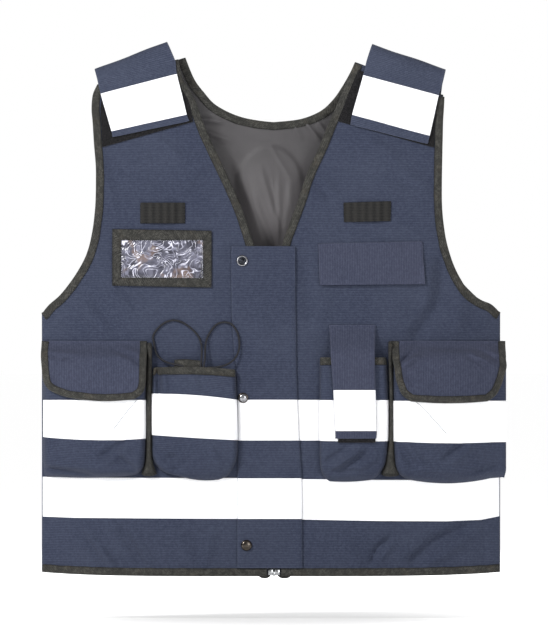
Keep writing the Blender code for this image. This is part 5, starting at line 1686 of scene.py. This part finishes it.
def make_cords():
    for name, route in CORDS.items():
        route = np.array(route)
        points = smooth(place(route[:, 0], route[:, 1], -1, route[:, 2]), 6)
        run = unit(np.gradient(points, axis=0))
        side = unit(np.cross(run, (0.0, 1.0, 0.0)))
        up = np.cross(side, run)
        turn = turns_of(CORD_SIDES)
        radius = CORD_THICK / 2
        ray = side[:, None] * np.cos(turn)[:, None] + up[:, None] * np.sin(turn)[:, None]
        rings = points[:, None] + radius * ray
        count = len(points)
        quads, caps = tube(count, CORD_SIDES)
        along = run_length(points)
        flat_uv = np.stack((np.repeat(along, CORD_SIDES), np.tile(turn * radius, count)), -1)
        corner = flat_uv[quads]
        wrap = quads % CORD_SIDES
        jump = (wrap[:, 1:2] == 0) & (wrap == 0)
        corner[..., 1] += jump * math.tau * radius
        faces, uv = np.vstack((quads, caps)), np.vstack((corner, flat_uv[caps]))
        node = "cord_loop_" + name
        made = build(node + "_visual", rings.reshape(-1, 3), faces, BRAID, (node,), uv)


# Cloth


def declare_sheets():
    """Reads how large each piece of cloth was cut and finds the stitches that are on it, but does nothing more
    with them.
    """
    for row in SHEETS.strip().split("\n"):
        name, width, length, share, held, carrier = row.split()
        width, length, share = float(width), float(length), float(share)
        sewn = [o for o in bpy.data.objects if o.name.startswith(name + "_")]
        sewn = [o for o in sewn if o.name.endswith(("stitches", "seam"))]


# Stage, lights and camera


def make_stage():
    """A wide pale floor a little below the hem, with a soft shadow painted into its colour and glow under the
    vest.
    """
    mesh = bpy.data.meshes.new("floor")
    signs = ((-1, -1), (1, -1), (1, 1), (-1, 1))
    corners = [(x * FLOOR_SIZE, y * FLOOR_SIZE, FLOOR_LEVEL) for x, y in signs]
    mesh.from_pydata(corners, [], [(0, 1, 2, 3)])
    floor = added("floor", mesh)
    pale = Finish("floor_pale", 0.9, specular=0.1)
    spot = pale.node("Mapping", pale.where)
    spot.inputs["Scale"].default_value = (1 / SHADOW_SPREAD[0], 1 / SHADOW_SPREAD[1], 0.0)
    near = pale.node("TexGradient", spot.outputs[0], gradient_type="SPHERICAL").outputs["Fac"]
    pale.shader["Emission Color"].default_value = WHITE
    pale.put(pale.shader["Emission Strength"], pale.span(near, 0.0, SHADOW_CORE, FLOOR_GLOW, SHADOW_GLOW))
    mesh.materials.append(pale.colour(pale.span(near, 0.0, SHADOW_CORE, FLOOR_COLOUR, SHADOW_COLOUR)))


def make_lights():
    world = bpy.data.worlds.new("studio")
    bpy.context.scene.world = world
    world.use_nodes = True
    tree = world.node_tree
    lighting = tree.nodes["Background"]
    lighting.inputs["Color"].default_value = WHITE
    lighting.inputs["Strength"].default_value = WORLD_LIGHT
    backdrop = tree.nodes.new("ShaderNodeBackground")
    backdrop.inputs["Color"].default_value = WHITE
    seen = tree.nodes.new("ShaderNodeMixShader")
    tree.links.new(tree.nodes.new("ShaderNodeLightPath").outputs["Is Camera Ray"], seen.inputs[0])
    tree.links.new(lighting.outputs[0], seen.inputs[1])
    tree.links.new(backdrop.outputs[0], seen.inputs[2])
    tree.links.new(seen.outputs[0], tree.nodes["World Output"].inputs[0])
    for name, place_at, size, power in LIGHTS:
        lamp = bpy.data.lights.new(name, "AREA")
        lamp.size = size
        lamp.energy = power
        made = added(name, lamp)
        made.location = place_at
        made.rotation_euler = (Vector(LIGHT_AIM) - Vector(place_at)).to_track_quat("-Z", "Y").to_euler()
    view = bpy.context.scene.view_settings
    view.view_transform = "Standard"
    view.look = "None"
    view.exposure = 0.0
    view.gamma = 1.0


def make_camera():
    data = bpy.data.cameras.new("photo_view")
    data.sensor_width = SENSOR
    data.lens = SENSOR * CAMERA_DISTANCE / PICTURE_HEIGHT
    data.clip_end = 200.0
    made = added("photo_view", data)
    made.location = (AIM_X * MM, -CAMERA_DISTANCE * MM, AIM_Z * MM)
    made.rotation_euler = (math.radians(90.0), 0.0, 0.0)
    bpy.context.scene.camera = made


make_camera()
make_cords()
make_cord_tab()
make_fronts()
make_back()
make_shoulders()
make_placket()
make_zip()
make_bands()
make_tabs()
make_id_window()
make_chest_flap()
for bag in BAGS:
    make_bag(bag)
make_flaps()
make_edge_strips()
make_light_flap()
declare_sheets()
make_stage()
make_lights()
